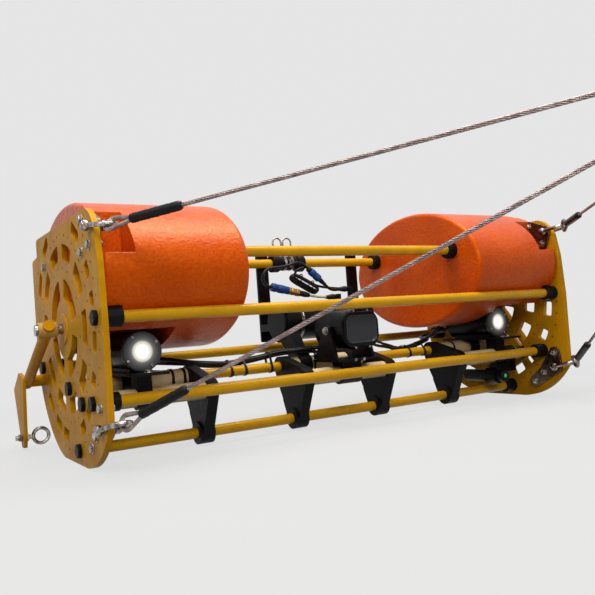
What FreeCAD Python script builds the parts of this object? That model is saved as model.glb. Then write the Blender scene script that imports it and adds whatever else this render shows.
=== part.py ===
"""Towed underwater camera: a tube frame between two end plates, with floats, lights and a camera.

Millimetres. X runs along the frame, from the left end plate to the right one. The unit is towed
towards -Y and +Z is up. The origin is the hub centre on the left end plate's outer face.
"""
import FreeCAD, Part
import math
import os

os.makedirs("parts", exist_ok=True)
V = FreeCAD.Vector

# Frame
frame_length = 1330.0
middle = frame_length / 2
plate_thickness = 12.0
plate_front = 291.0
plate_back = 284.0
plate_top = 228.0
plate_bottom = 288.0
plate_rim_radius = 294.0
plate_back_top = 170.0
plate_toe = ((-130.0, -plate_bottom), (-226.0, -256.0), (-plate_front, -190.0))
plate_nose = ((-plate_front, 10.0), (-284.0, 120.0), (-272.0, 182.0))
plate_brow = (-252.0, 210.0)
plate_top_start = (-220.0, plate_top)
plate_top_end = ((216.0, plate_top), (225.0, plate_top - 4), (228.0, plate_top - 12))
plate_step = ((228.0, 186.0), (272.0, 181.0), (281.0, 178.0))
seat_gap = 0.3
running_gap = 0.05

# End plate openings and hole circles, radii from the hub, angles from +Y towards +Z
hub_radius = 66.0
inner_slot_outer = 111.0
inner_slot_spans = ((11, 79), (101, 169), (191, 259), (281, 349))
middle_slot_inner = 151.0
middle_slot_outer = 187.0
middle_slot_count = 10
middle_slot_span = 24.0
middle_slot_start = 1.0
outer_slot_inner = 222.0
outer_slot_outer = 249.0
outer_slot_spans = ((21, 36), (49, 63), (118, 132), (148, 157), (164, 171), (183, 193),
                    (203, 211), (223, 232), (237, 247), (272, 284), (288, 300), (306, 320))
slot_corner = 6.0
frame_hole_radius = 3.3
inner_circle_radius = 133.6
inner_circle_count = 20
middle_circle_radius = 205.0
middle_circle_count = 40
outer_circle_radius = 266.0
outer_circle_count = 48
hub_boss_radius = 34.0
hub_boss_height = 3.0

# Frame tubes: outer radius and places of their axes
tube_radius = 12.5
top_front = (-180.0, 147.0)
top_back = (151.0, 152.0)
upper_front = (-253.0, 13.0)
lower_front = (-203.0, -153.0)
bottom = (-79.0, -258.0)
back = (215.0, -88.0)
mid_back = (-25.0, -130.0)
mid_front = (-126.0, -158.0)
tubes = {"rod_top_front": top_front, "rod_top_back": top_back, "rod_upper_front": upper_front,
         "rod_lower_front": lower_front, "rod_bottom": bottom, "rod_back": back,
         "rod_mid_back": mid_back, "rod_mid_front": mid_front}
float_tubes = (top_front, top_back)
collared_tubes = (upper_front, lower_front, bottom, back, mid_back, mid_front)
collar_radius = 19.5
collar_length = 38.0
collar_edge = 3.0
end_screw_radius = 6.0
end_screw_depth = 25.0
cap_radius = 15.0
cap_height = 9.0
cap_wall = 3.0
screw_head_radius = 9.5
screw_head_height = 5.5

# Floats: oval blocks on the two top tubes
float_length = 312.0
float_half_depth = 267.0
float_half_height = 166.0
float_centre = (-13.0, 105.0)
float_edge = 10.0
float_bore_gap = 0.4
float_plate_gap = 0.5
shackle_recess_length = 66.0
shackle_recess_floor = 135.0
shackle_recess_back = -150.0
float_collar_radius = 23.0
float_collar_length = 22.0

# Keel brackets and the sleeves between them on the two middle tubes
bracket_pitch = 256.0
bracket_thickness = 26.0
bracket_margin = 25.0
bracket_ring_radius = 26.0
bracket_ring_length = 36.0
sleeve_radius = 20.0
sleeve_gap = 0.5
tie_width = 7.0
tie_thickness = 1.6

# Towing lugs, bolted inside the front corners of both plates
lug_thickness = 6.0
lug_margin = 17.0
lug_bolt_radius = 5.0
lug_head_radius = 8.5
lug_head_height = 5.5
upper_lug_bolts = ((-192.0, 211.0), (-235.0, 156.0))
upper_lug_pin = (-248.0, 190.0)
lower_lug_bolts = ((-247.0, -160.0), (-207.0, -216.0), (-174.0, -242.0))
lower_lug_pin = (-252.0, -200.0)

# Shackle, thimble, sleeve and wire of each towing leg
shackle_pin_radius = 6.0
shackle_bar_radius = 5.0
shackle_half_width = 18.0
shackle_length = 72.0
shackle_ear_radius = 11.0
thimble_radius = 14.0
thimble_bar = 5.0
thimble_throat = 34.0
thimble_cut = 26.0
wire_radius = 4.0
wire_sleeve_radius = 9.5
wire_sleeve_length = 112.0
far_sleeve_length = 60.0
leg_ends = {1: (505.0, -1005.0, 275.0), 2: (503.0, -998.0, 175.0),
            3: (frame_length - 206.0, -566.0, 219.0), 4: (frame_length - 169.0, -510.0, -95.0)}

# Trim arms, hinged on a pin at each plate's hub
hub_pin_radius = 8.0
bush_radius = 17.0
bush_start = 15.0
bush_length = 41.0
arm_offset = 35.0
arm_radius = 12.5
arm_front_reach = 22.0
arm_length = 288.0
arm_end_margin = 2.5
left_arm_angle = 334.0
right_arm_angle = 232.0
stub_radius = 14.0
leg_thickness = 8.0
leg_weld_depth = 4.5
leg_foot_drop = 163.0
leg_foot_width = 50.0
leg_kink_back = 104.0
eye_ring_radius = 18.5
eye_bar_radius = 4.6
eye_shank_radius = 5.9
eye_ring_offset = 36.0

# Payload: lights, camera and laser stand on the sleeves of the two middle tubes
clip_wall = 6.0
light_offset = 124.5
light_radius = 43.5
light_length = 175.0
light_front = -145.0
light_bezel_length = 9.0
light_lens_radius = 24.0
light_lens_thickness = 6.0
light_cup_radius = 30.0
light_cup_depth = 22.0
light_foot_width = 50.0
light_foot_height = 0.5
light_foot_inset = 18.0
light_plate_width = 80.0
light_plate_thickness = 6.0
light_plate_front = -190.0
light_plate_back = 48.0
light_saddle_width = 32.0
light_notch_gap = 4.0
light_notch_side = 12.0
light_notch_back = 15.0
camera_centre = middle
camera_pivot = (-130.0, -48.0)
camera_radius = 50.0
camera_front = 58.0
camera_rear = 70.0
camera_wall = 6.0
camera_chamber_depth = 30.0
camera_bezel_radius = 52.0
camera_bezel_length = 12.0
camera_lens_radius = 20.0
window_width = 80.0
window_height = 64.0
window_corner = 16.0
window_thickness = 2.5
window_recess = 4.0
window_seat = 4.0
cradle_base_drop = 72.0
cradle_base_thickness = 6.0
cradle_cheek_thickness = 8.0
cradle_cheek_gap = 2.0
cradle_front = -178.0
cradle_back = -62.0
cradle_margin = 14.0
cradle_saddle_width = 60.0
pivot_radius = 5.0
laser_offset = 140.0
laser_radius = 17.0
laser_length = 150.0
laser_front = -170.0
laser_drop = 58.0
laser_clip_width = 40.0
laser_clip_side = 5.0

# Electronics housing on saddles, with a board behind it that hangs from the top back tube
housing_place = (56.0, -18.0)
housing_radius = 48.0
housing_left = middle - 93.0
housing_length = 300.0
housing_cap = 16.0
saddle_positions = (housing_left + 6.0, housing_left + 158.0)
saddle_width = 34.0
saddle_low_half = 16.0
saddle_high_half = 30.0
spacer_width = 20.0
spacer_drop = 12.0
board_left = middle - 80.0
board_collar_gap = 47.0
board_low = -70.0
board_waist = 18.0
board_rise = 34.0
board_strap_width = 36.0
board_thickness = 8.0
board_tube_gap = 1.0
board_corner = 6.0
board_screw_radius = 3.0
board_screw_head = 5.5
board_pad_width = 20.0
board_washer_radius = 8.0
board_washer_thickness = 1.5

# Lifting clamp on the top back tube
lift_centre = middle + 10.0
lift_half_width = 53.0
lift_ring_length = 24.0
lift_ring_radius = 25.0
lift_core_radius = 20.0
bail_middle = lift_centre - 11.0
bail_radius = 13.5
bail_bar = 2.5
bail_top = 228.0

# Leads, their glands and their two joined connectors
lead_radius = 4.0
pale_lead_radius = 3.5
gland_radius = 8.0
gland_length = 14.0
light_gland_drop = 20.0
under_gland_places = (middle + 35.0, middle + 150.0)
under_gland_angle = 225.0
elbow_length = 18.0
pale_elbow = (middle + 135.0, 80.0, 46.0)
trunk_elbow = (middle + 185.0, 88.0, 68.0)
low_connector = (middle - 77.0, 96.0, 82.0)
low_connector_heading = (0.976, 0.0, -0.219)
low_connector_steps = ((54.0, 12.0), (34.0, 10.5), (38.0, 9.0))
high_connector = (middle + 39.0, 84.0, 130.0)
high_connector_heading = (0.756, 0.0, -0.655)
high_connector_steps = ((10.0, 8.5), (38.0, 11.0), (24.0, 7.0))

left_inner = plate_thickness
right_inner = frame_length - plate_thickness
deck_level = mid_back[1] + sleeve_radius
light_axis = deck_level + light_plate_thickness + light_foot_height + light_radius


def drum(x0, x1, place, radius):
    """Cylinder along X from x0 to x1, about (y, z)."""
    return Part.makeCylinder(radius, x1 - x0, V(x0, place[0], place[1]), V(1, 0, 0))


def barrel(y0, y1, x, z, radius):
    """Cylinder along Y."""
    return Part.makeCylinder(radius, y1 - y0, V(x, y0, z), V(0, 1, 0))


def block(x0, x1, y0, y1, z0, z1):
    return Part.makeBox(x1 - x0, y1 - y0, z1 - z0, V(x0, y0, z0))


def polar(radius, degrees):
    angle = math.radians(degrees)
    return radius * math.cos(angle), radius * math.sin(angle)


def tube_between(start, end, radius):
    run = end - start
    return Part.makeCylinder(radius, run.Length, start, run)


def fillet_along_x(shape, radius):
    """Round the edges that run along X."""
    edges = [e for e in shape.Edges if e.BoundBox.XLength > 1 and e.BoundBox.YLength < 0.01
             and e.BoundBox.ZLength < 0.01]
    return shape.makeFillet(radius, edges)


def rounded_plate(x0, thickness, centres, margin):
    """Plate across X whose outline keeps a margin round a polygon of centres."""
    points = [V(x0, y, z) for y, z in centres]
    wire = Part.makePolygon(points + [points[0]])
    return Part.Face(wire.makeOffset2D(margin)).extrude(V(thickness, 0, 0))


def swept(edges, radius):
    """Round bar along a path of lines and arcs."""
    path = Part.Wire(edges)
    first = edges[0]
    start = first.valueAt(first.FirstParameter)
    heading = first.tangentAt(first.FirstParameter)
    profile = Part.Wire(Part.makeCircle(radius, start, heading))
    return path.makePipeShell([profile], True, False)


def lead(points, radius, name):
    """Cable through hand-chosen points: straight runs joined by arcs as large as fit."""
    points = [V(*p) for p in points]
    edges = []
    here = points[0]
    radii = []
    for before, corner, after in zip(points, points[1:], points[2:]):
        run_in = corner - before
        run_out = after - corner
        turn = run_in.getAngle(run_out)
        reach = 0.45 * min(run_in.Length, run_out.Length)
        radii.append(round(reach / math.tan(turn / 2), 1))
        enter = corner - run_in.normalize() * reach
        leave = corner + run_out.normalize() * reach
        bisector = (enter + leave) * 0.5 - corner
        radius_here = reach / math.tan(turn / 2)
        centre_distance = math.hypot(radius_here, reach)
        middle = corner + bisector.normalize() * (centre_distance - radius_here)
        edges.append(Part.LineSegment(here, enter).toShape())
        edges.append(Part.Arc(enter, middle, leave).toShape())
        here = leave
    edges.append(Part.LineSegment(here, points[-1]).toShape())
    solid = swept(edges, radius)
    length = sum(e.Length for e in edges)
    print(name, "length", round(length), "radii", radii,
          "volume ratio", round(solid.Volume / (math.pi * radius ** 2 * length), 4))
    return solid


def mirrored(shape):
    """The same piece at the other end of the frame."""
    return shape.mirror(V(middle, 0, 0), V(1, 0, 0))


def both_ends(shapes):
    return list(shapes) + [mirrored(s) for s in shapes]


def save(name, solids):
    if not isinstance(solids, (list, tuple)):
        solids = [solids]
    pieces = [s for shape in solids for s in shape.Solids]
    Part.makeCompound(pieces).exportStep("parts/" + name + ".step")


# End plates

def plate_outline():
    def at(y, z):
        return V(0, y, z)

    def line(start, end):
        return Part.LineSegment(at(*start), at(*end))

    back_top = (plate_back, plate_back_top)
    rim_start = at(plate_back, -math.sqrt(plate_rim_radius ** 2 - plate_back ** 2))
    rim_end = at(math.sqrt(plate_rim_radius ** 2 - plate_bottom ** 2), -plate_bottom)
    rim_middle = at(*polar(plate_rim_radius, -46))
    edges = [
        Part.LineSegment(at(*back_top), rim_start),
        Part.Arc(rim_start, rim_middle, rim_end),
        Part.LineSegment(rim_end, at(*plate_toe[0])),
        Part.Arc(*[at(*p) for p in plate_toe]),
        line(plate_toe[2], plate_nose[0]),
        line(plate_nose[0], plate_nose[1]),
        line(plate_nose[1], plate_nose[2]),
        Part.Arc(at(*plate_nose[2]), at(*plate_brow), at(*plate_top_start)),
        line(plate_top_start, plate_top_end[0]),
        Part.Arc(*[at(*p) for p in plate_top_end]),
        line(plate_top_end[2], plate_step[0]),
        line(plate_step[0], plate_step[1]),
        Part.Arc(at(*plate_step[1]), at(*plate_step[2]), at(*back_top)),
    ]
    return Part.Wire([e.toShape() for e in edges])


def sector_cutter(inner, outer, start, end):
    """Cutter for a slot between two radii and two angles, with round corners."""
    def at(radius, degrees):
        y, z = polar(radius, degrees)
        return V(-plate_thickness, y, z)

    middle = (start + end) / 2
    edges = [Part.Arc(at(inner, start), at(inner, middle), at(inner, end)),
             Part.LineSegment(at(inner, end), at(outer, end)),
             Part.Arc(at(outer, end), at(outer, middle), at(outer, start)),
             Part.LineSegment(at(outer, start), at(inner, start))]
    face = Part.Face(Part.Wire([e.toShape() for e in edges]))
    return fillet_along_x(face.extrude(V(3 * plate_thickness, 0, 0)), slot_corner)


def hole_places():
    """Centres of the small frame holes that clear the tubes, the lugs and the plate's edge."""
    places = []
    circles = ((inner_circle_radius, inner_circle_count, 45.0),
               (middle_circle_radius, middle_circle_count, 4.5),
               (outer_circle_radius, outer_circle_count, 3.0))
    keep_off = [(p, collar_radius + 6) for p in tubes.values()]
    keep_off += [(p, lug_head_radius + 7) for p in upper_lug_bolts + lower_lug_bolts]
    keep_off += [(p, 34.0) for p in (upper_lug_pin, lower_lug_pin)]
    for radius, count, start in circles:
        for k in range(count):
            place = polar(radius, start + 360.0 * k / count)
            near = any(math.dist(place, p) < reach for p, reach in keep_off)
            over_top = place[1] > plate_top - 14 or (place[0] > 212 and place[1] > 168)
            if not near and not over_top:
                places.append(place)
    return places


def end_plate():
    plate = Part.Face(plate_outline()).extrude(V(plate_thickness, 0, 0))
    cutters = [sector_cutter(hub_radius, inner_slot_outer, a, b) for a, b in inner_slot_spans]
    for k in range(middle_slot_count):
        centre = middle_slot_start + 360.0 * k / middle_slot_count
        cutters.append(sector_cutter(middle_slot_inner, middle_slot_outer,
                                     centre - middle_slot_span / 2, centre + middle_slot_span / 2))
    cutters += [sector_cutter(outer_slot_inner, outer_slot_outer, a, b) for a, b in outer_slot_spans]
    cutters += [drum(-1, plate_thickness + 1, p, frame_hole_radius) for p in hole_places()]
    cutters += [drum(-1, plate_thickness + 1, p, end_screw_radius + running_gap)
                for p in tubes.values()]
    cutters += [drum(-1, plate_thickness + 1, p, lug_bolt_radius + running_gap)
                for p in upper_lug_bolts + lower_lug_bolts]
    cutters += [drum(-1, plate_thickness + 1, p, shackle_pin_radius + running_gap)
                for p in (upper_lug_pin, lower_lug_pin)]
    plate = plate.fuse(drum(-hub_boss_height, 1, (0, 0), hub_boss_radius))
    cutters.append(drum(-hub_boss_height - 1, plate_thickness + 1, (0, 0),
                        hub_pin_radius + running_gap))
    return plate.cut(cutters)


# Tubes and what closes their ends

board_right = (frame_length - left_inner - float_plate_gap - float_length - seat_gap
               - float_collar_length - board_collar_gap)
board_strap_middles = (board_left + board_strap_width / 2, board_right - board_strap_width / 2)


def frame_tube(place):
    tube = drum(left_inner, right_inner, place, tube_radius)
    bore = end_screw_radius + running_gap
    depth = end_screw_depth + seat_gap
    cutters = [drum(left_inner, left_inner + depth, place, bore),
               drum(right_inner - depth, right_inner, place, bore)]
    if place == top_back:
        cutters += [barrel(place[0], place[0] + 2 * tube_radius, x, place[1],
                           board_screw_radius + running_gap) for x in board_strap_middles]
    return tube.cut(cutters)


def collar(start, length, place, radius):
    ring = drum(start, start + length, place, radius)
    far_edge = [e for e in ring.Edges if abs(e.CenterOfMass.x - start - length) < 0.01]
    ring = ring.makeFillet(collar_edge, far_edge)
    return ring.cut(drum(start, start + length, place, tube_radius + running_gap))


def end_screw(place):
    """Hexagon screw through the plate into the tube's end."""
    shank = drum(0, left_inner + end_screw_depth, place, end_screw_radius)
    corners = [V(-screw_head_height, place[0] + y, place[1] + z)
               for y, z in (polar(screw_head_radius, 60 * k) for k in range(7))]
    head = Part.Face(Part.makePolygon(corners)).extrude(V(screw_head_height, 0, 0))
    return head.fuse(shank)


def end_cap(place):
    cap = drum(-cap_height, 0, place, cap_radius)
    outer_edge = [e for e in cap.Edges if abs(e.CenterOfMass.x + cap_height) < 0.01]
    cap = cap.makeFillet(2.0, outer_edge)
    return cap.cut(drum(-cap_height + cap_wall, 0, place, cap_radius - cap_wall))


# Floats

def buoyancy_float():
    start = left_inner + float_plate_gap
    centre = V(start, float_centre[0], float_centre[1])
    oval = Part.Ellipse(V(0, 0, 0), float_half_depth, float_half_height)
    edge = oval.toShape()
    edge.rotate(V(0, 0, 0), V(1, 0, 0), 90)
    edge.rotate(V(0, 0, 0), V(0, 0, 1), 90)
    edge.translate(centre)
    body = Part.Face(Part.Wire([edge])).extrude(V(float_length, 0, 0))
    rims = [e for e in body.Edges if e.BoundBox.XLength < 0.01]
    body = body.makeFillet(float_edge, rims)
    end = start + float_length
    recess = block(start - 1, start + shackle_recess_length, -400, shackle_recess_back,
                   shackle_recess_floor, 400)
    notch = block(start - 1, light_offset + light_radius + light_notch_side, -400,
                  light_front + light_length + light_notch_back, -400,
                  light_axis + light_radius + light_notch_gap)
    relief = drum(start - 1, left_inner + collar_length + 2, upper_front, collar_radius + 2)
    bores = [drum(start - 1, end + 1, p, tube_radius + float_bore_gap) for p in float_tubes]
    return body.cut([recess, notch, relief] + bores)


# Keel brackets and sleeves

bracket_centres = [middle + bracket_pitch * k for k in (-1.5, -0.5, 0.5, 1.5)]


def keel_bracket(centre):
    web = rounded_plate(centre - bracket_thickness / 2, bracket_thickness,
                        (mid_front, mid_back, bottom), bracket_margin)
    waist_front = rounded_plate(centre - bracket_thickness, 2 * bracket_thickness,
                                ((-158, -214), (-146, -222), (-170, -250)), 16)
    waist_back = rounded_plate(centre - bracket_thickness, 2 * bracket_thickness,
                               ((-8, -196), (-18, -214), (8, -240)), 16)
    ring = drum(centre - bracket_ring_length / 2, centre + bracket_ring_length / 2, bottom,
                bracket_ring_radius)
    web = web.cut([waist_front, waist_back]).fuse(ring)
    bores = [drum(centre - bracket_pitch / 4, centre + bracket_pitch / 4, p,
                  tube_radius + running_gap) for p in (mid_front, mid_back, bottom)]
    return web.cut(bores)


def sleeve(x0, x1, place):
    outer = drum(x0 + sleeve_gap, x1 - sleeve_gap, place, sleeve_radius)
    return outer.cut(drum(x0, x1, place, tube_radius + running_gap))


def sleeve_spans():
    half = bracket_thickness / 2
    first = left_inner + collar_length
    last = right_inner - collar_length
    b1, b2, b3, b4 = bracket_centres
    return ((first, b1 - half), (b2 + half, b3 - half), (b4 + half, last))


def tie_band(x, place, radius):
    band = drum(x, x + tie_width, place, radius + tie_thickness)
    return band.cut(drum(x, x + tie_width, place, radius))


# Towing lugs and legs

def lug_plates():
    plates = []
    for bolts, pin in ((upper_lug_bolts, upper_lug_pin), (lower_lug_bolts, lower_lug_pin)):
        plate = rounded_plate(left_inner, lug_thickness, bolts + (pin,), lug_margin)
        holes = [drum(left_inner, left_inner + lug_thickness, p, lug_bolt_radius + running_gap)
                 for p in bolts]
        holes.append(drum(left_inner, left_inner + lug_thickness, pin,
                          shackle_pin_radius + running_gap))
        plates.append(plate.cut(holes))
    return plates


def lug_bolt(place):
    inner = left_inner + lug_thickness
    bolt = drum(-lug_head_height, inner + lug_head_height, place, lug_bolt_radius)
    outer_head = drum(-lug_head_height, 0, place, lug_head_radius)
    inner_head = drum(inner, inner + lug_head_height, place, lug_head_radius)
    return bolt.fuse([outer_head, inner_head])


def thimble(centre, away, hole_axis):
    """Eye at centre, its throat in the direction away."""
    side = away.cross(hole_axis)
    opening = math.acos(thimble_radius / thimble_throat)
    throat = centre + away * thimble_throat

    def at(angle):
        return centre + (away * math.cos(angle) + side * math.sin(angle)) * thimble_radius

    edges = [Part.LineSegment(throat, at(opening)).toShape(),
             Part.Arc(at(opening), at(math.pi), at(-opening)).toShape(),
             Part.LineSegment(at(-opening), throat).toShape()]
    bar = swept(edges[:2], thimble_bar).fuse(tube_between(at(-opening), throat, thimble_bar))
    beyond = Part.makeCylinder(4 * thimble_bar, thimble_throat, centre + away * thimble_cut, away)
    return bar.cut(beyond)


def towing_leg(number):
    """Shackle, thimbles, sleeves and wire of one leg; legs 1 and 2 are on the left plate."""
    on_left = number in (1, 2)
    pin_place = upper_lug_pin if number in (1, 3) else lower_lug_pin
    half_lug = (plate_thickness + lug_thickness) / 2
    pin_x = half_lug if on_left else frame_length - half_lug
    pin = V(pin_x, pin_place[0], pin_place[1])
    end = V(*leg_ends[number])
    across = V(1, 0, 0)
    pull = V(0, end.y - pin.y, end.z - pin.z).normalize()
    shoulder = pin + pull * (shackle_length - shackle_half_width)
    crown = shoulder + pull * shackle_half_width
    left_side = across * -shackle_half_width
    right_side = across * shackle_half_width
    bow = swept([Part.LineSegment(pin + left_side, shoulder + left_side).toShape(),
                 Part.Arc(shoulder + left_side, crown, shoulder + right_side).toShape(),
                 Part.LineSegment(shoulder + right_side, pin + right_side).toShape()],
                shackle_bar_radius)
    ear_inside = shackle_half_width - shackle_bar_radius
    ears = [drum(pin.x + s * shackle_half_width - shackle_bar_radius,
                 pin.x + s * shackle_half_width + shackle_bar_radius,
                 pin_place, shackle_ear_radius) for s in (-1, 1)]
    bore = drum(pin.x - 2 * shackle_half_width, pin.x + 2 * shackle_half_width, pin_place,
                shackle_pin_radius + running_gap)
    bow = bow.fuse(ears).cut(bore)
    reach = shackle_half_width + shackle_bar_radius
    bolt = drum(pin.x - reach - 3, pin.x + reach, pin_place, shackle_pin_radius)
    head = drum(pin.x + reach, pin.x + reach + 4, pin_place, shackle_ear_radius)
    if not on_left:
        bolt = drum(pin.x - reach, pin.x + reach + 3, pin_place, shackle_pin_radius)
        head = drum(pin.x - reach - 4, pin.x - reach, pin_place, shackle_ear_radius)
    save("tow_shackle_%d" % number, [bow, bolt.fuse(head)])

    away = (end - shoulder).normalize()
    hole_axis = (across - away * across.dot(away)).normalize()
    hang = thimble_radius - thimble_bar - shackle_bar_radius - seat_gap
    eye = shoulder + away * (shackle_half_width + hang)
    near_sleeve = eye + away * thimble_cut
    wire_start = near_sleeve + away * wire_sleeve_length
    far_sleeve = end + away * (2 * far_sleeve_length / 3)
    far_eye = far_sleeve + away * (far_sleeve_length + thimble_cut)
    save("tow_end_%d" % number,
         [thimble(eye, away, hole_axis), thimble(far_eye, away * -1, hole_axis),
          tube_between(near_sleeve, wire_start, wire_sleeve_radius),
          tube_between(far_sleeve, far_sleeve + away * far_sleeve_length, wire_sleeve_radius)])
    save("tow_wire_%d" % number, tube_between(wire_start, far_sleeve, wire_radius))
    print("leg", number, "wire", round((far_sleeve - wire_start).Length),
          "start", [round(c) for c in wire_start], "end", [round(c) for c in far_sleeve],
          "eye", [round(c) for c in eye], "far eye", [round(c) for c in far_eye])


# Trim arms, built pointing along +Y at the left end and turned about the hub

def hub_pin():
    pin = drum(0, bush_start + bush_length + 4, (0, 0), hub_pin_radius)
    collar_ring = drum(hub_boss_height, bush_start - seat_gap, (0, 0), hub_pin_radius + 3)
    tip = drum(bush_start + bush_length, bush_start + bush_length + 5, (0, 0), hub_pin_radius + 4)
    pin = pin.fuse([collar_ring, tip])
    pin = pin.fuse(drum(-plate_thickness, 0, (0, 0), hub_pin_radius))
    return pin.mirror(V(0, 0, 0), V(1, 0, 0))


def arm_bush():
    bush = drum(-bush_start - bush_length + seat_gap, -bush_start, (0, 0), bush_radius)
    rims = [e for e in bush.Edges if e.BoundBox.XLength < 0.01]
    bush = bush.makeFillet(2.5, rims)
    tube_hole = barrel(-2 * bush_radius, 2 * bush_radius, -arm_offset, 0,
                       arm_radius + running_gap)
    pin_hole = drum(-100, 0, (0, 0), hub_pin_radius + running_gap)
    return bush.cut([tube_hole, pin_hole])


def arm_tube():
    tube = barrel(-arm_front_reach, arm_length, -arm_offset, 0, arm_radius)
    pin_hole = drum(-100, 0, (0, 0), hub_pin_radius + running_gap)
    return tube.cut(pin_hole)


def turned(shape, degrees):
    shape = shape.copy()
    shape.rotate(V(0, 0, 0), V(1, 0, 0), degrees)
    return shape


leg_outer = arm_offset + arm_radius + leg_thickness - leg_weld_depth
leg_inner = leg_outer - leg_thickness
stub_reach = arm_length - stub_radius - arm_end_margin


def leg_points():
    """Outline of the left arm's leg, in the frame's own directions."""
    y, z = polar(stub_reach, left_arm_angle)
    foot_z = z - leg_foot_drop + leg_foot_width / 2
    foot_y = y + leg_foot_width / 2
    return (y, z), (y + 0.28 * leg_kink_back, z + 22), (y + leg_kink_back, z - 22), (foot_y, foot_z)


def left_arm():
    tube = turned(arm_tube(), left_arm_angle)
    (y, z), top, kink, foot = leg_points()
    points = [V(-leg_outer, y - stub_radius, z - 4), V(-leg_outer, y - stub_radius, z + 12),
              V(-leg_outer, top[0], top[1]), V(-leg_outer, kink[0], kink[1]),
              V(-leg_outer, foot[0] + leg_foot_width / 2, foot[1]),
              V(-leg_outer, foot[0] + leg_foot_width / 4, foot[1] - leg_foot_width / 2),
              V(-leg_outer, foot[0] - leg_foot_width / 4, foot[1] - leg_foot_width / 2),
              V(-leg_outer, foot[0] - leg_foot_width / 2, foot[1])]
    leg = Part.Face(Part.makePolygon(points + [points[0]])).extrude(V(leg_thickness, 0, 0))
    leg = fillet_along_x(leg, 8.0)
    stub = drum(-leg_inner, -seat_gap, (y, z), stub_radius)
    eye_hole = drum(-leg_outer - 1, 0, foot, eye_shank_radius)
    return tube.fuse([stub, leg]).cut(eye_hole)


def eye_bolt():
    foot = leg_points()[3]
    ring_centre = V(-leg_inner + eye_ring_offset, foot[0], foot[1])
    ring = Part.makeTorus(eye_ring_radius, eye_bar_radius, ring_centre, V(0, 1, 0))
    shank = drum(-leg_outer - 16, ring_centre.x - eye_ring_radius, foot, eye_shank_radius - running_gap)
    shoulder = drum(-leg_inner, -leg_inner + 6, foot, eye_shank_radius + 4)
    corners = [V(-leg_outer - 9, foot[0] + y, foot[1] + z)
               for y, z in (polar(9.5, 60 * k) for k in range(7))]
    nut = Part.Face(Part.makePolygon(corners)).extrude(V(9, 0, 0))
    return ring.fuse([shank, shoulder, nut])


def right_arm():
    return mirrored(turned(arm_tube(), right_arm_angle))


# Lights on level base plates

def saddle(x0, x1, place, top):
    """Block that wraps a sleeve and carries a plate at height top."""
    wrap = drum(x0, x1, place, sleeve_radius + clip_wall)
    post = block(x0, x1, place[0] - sleeve_radius, place[0] + sleeve_radius, place[1], top)
    return wrap.fuse(post).cut(drum(x0 - 1, x1 + 1, place, sleeve_radius + running_gap))


def light_barrel(y0, y1, radius):
    return barrel(y0, y1, light_offset, light_axis, radius)


light_cup_back = light_front + light_bezel_length + light_cup_depth
light_end = light_front + light_length


def light_housing():
    body = light_barrel(light_front + light_bezel_length, light_end, light_radius)
    rear = [e for e in body.Edges if abs(e.CenterOfMass.y - light_end) < 0.01]
    body = body.makeFillet(4.0, rear)
    half = light_foot_width / 2
    foot = block(light_offset - half, light_offset + half, light_front + light_foot_inset,
                 light_end - light_foot_inset, deck_level + light_plate_thickness,
                 light_axis - light_radius / 2)
    gland = barrel(light_end - gland_length, light_end + gland_length, light_offset,
                   light_axis - light_gland_drop, gland_radius)
    cup = light_barrel(light_front, light_cup_back, light_cup_radius)
    return body.fuse([foot, gland]).cut(cup)


def light_bezel():
    ring = light_barrel(light_front, light_front + light_bezel_length, light_radius)
    front = [e for e in ring.Edges if abs(e.CenterOfMass.y - light_front) < 0.01]
    ring = ring.makeFillet(2.5, front)
    hole = light_barrel(light_front - 1, light_end, light_lens_radius)
    seat = light_barrel(light_front + 3, light_end, light_cup_radius)
    return ring.cut([hole, seat])


def light_lens():
    start = light_front + 3
    return light_barrel(start, start + light_lens_thickness, light_cup_radius - running_gap)


def light_emitter():
    plate = light_barrel(light_cup_back - 4, light_cup_back, light_cup_radius - running_gap)
    return plate.fuse(light_barrel(light_cup_back - 7, light_cup_back - 4, light_lens_radius / 2))


def light_base():
    half = light_plate_width / 2
    plate = block(light_offset - half, light_offset + half, light_plate_front, light_plate_back,
                  deck_level, deck_level + light_plate_thickness)
    grip = light_saddle_width / 2
    plate = plate.fuse([saddle(light_offset - grip, light_offset + grip, p, deck_level)
                        for p in (mid_front, mid_back)])
    return plate.cut([drum(0, frame_length, p, sleeve_radius + running_gap)
                      for p in (mid_front, mid_back)])


# Pointing laser under the front sleeve

laser_x = frame_length - laser_offset
laser_z = mid_front[1] - laser_drop


def laser_body():
    body = barrel(laser_front, laser_front + laser_length, laser_x, laser_z, laser_radius)
    return body.makeFillet(2.0, [e for e in body.Edges if e.BoundBox.YLength < 0.01])


def laser_clip():
    """Clip on the sleeve beside the light's saddle, with an arm back to the laser."""
    half = laser_clip_width / 2
    x0 = frame_length - light_offset + light_saddle_width / 2 + laser_clip_side
    x1 = x0 + laser_clip_width
    arm_top = mid_front[1] - sleeve_radius - clip_wall - seat_gap
    arm_low = laser_z + laser_radius / 2
    wrap = drum(x0, x1, mid_front, sleeve_radius + clip_wall)
    grip = barrel(mid_front[0] - half, mid_front[0] + half, laser_x, laser_z,
                  laser_radius + clip_wall)
    arm = block(laser_x, x1, mid_front[0] - laser_radius, mid_front[0] + laser_radius,
                arm_low, arm_top)
    post = block(x0, x1, mid_front[0] - laser_radius, mid_front[0] + laser_radius,
                 arm_low, mid_front[1])
    clip = wrap.fuse([grip, arm, post])
    return clip.cut([barrel(laser_front - 1, laser_front + laser_length, laser_x, laser_z,
                            laser_radius + running_gap),
                     drum(0, frame_length, mid_front, sleeve_radius + running_gap)])


# Camera

camera_face = camera_pivot[0] - camera_front


def camera_barrel(y0, y1, radius):
    return barrel(y0, y1, camera_centre, camera_pivot[1], radius)


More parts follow.
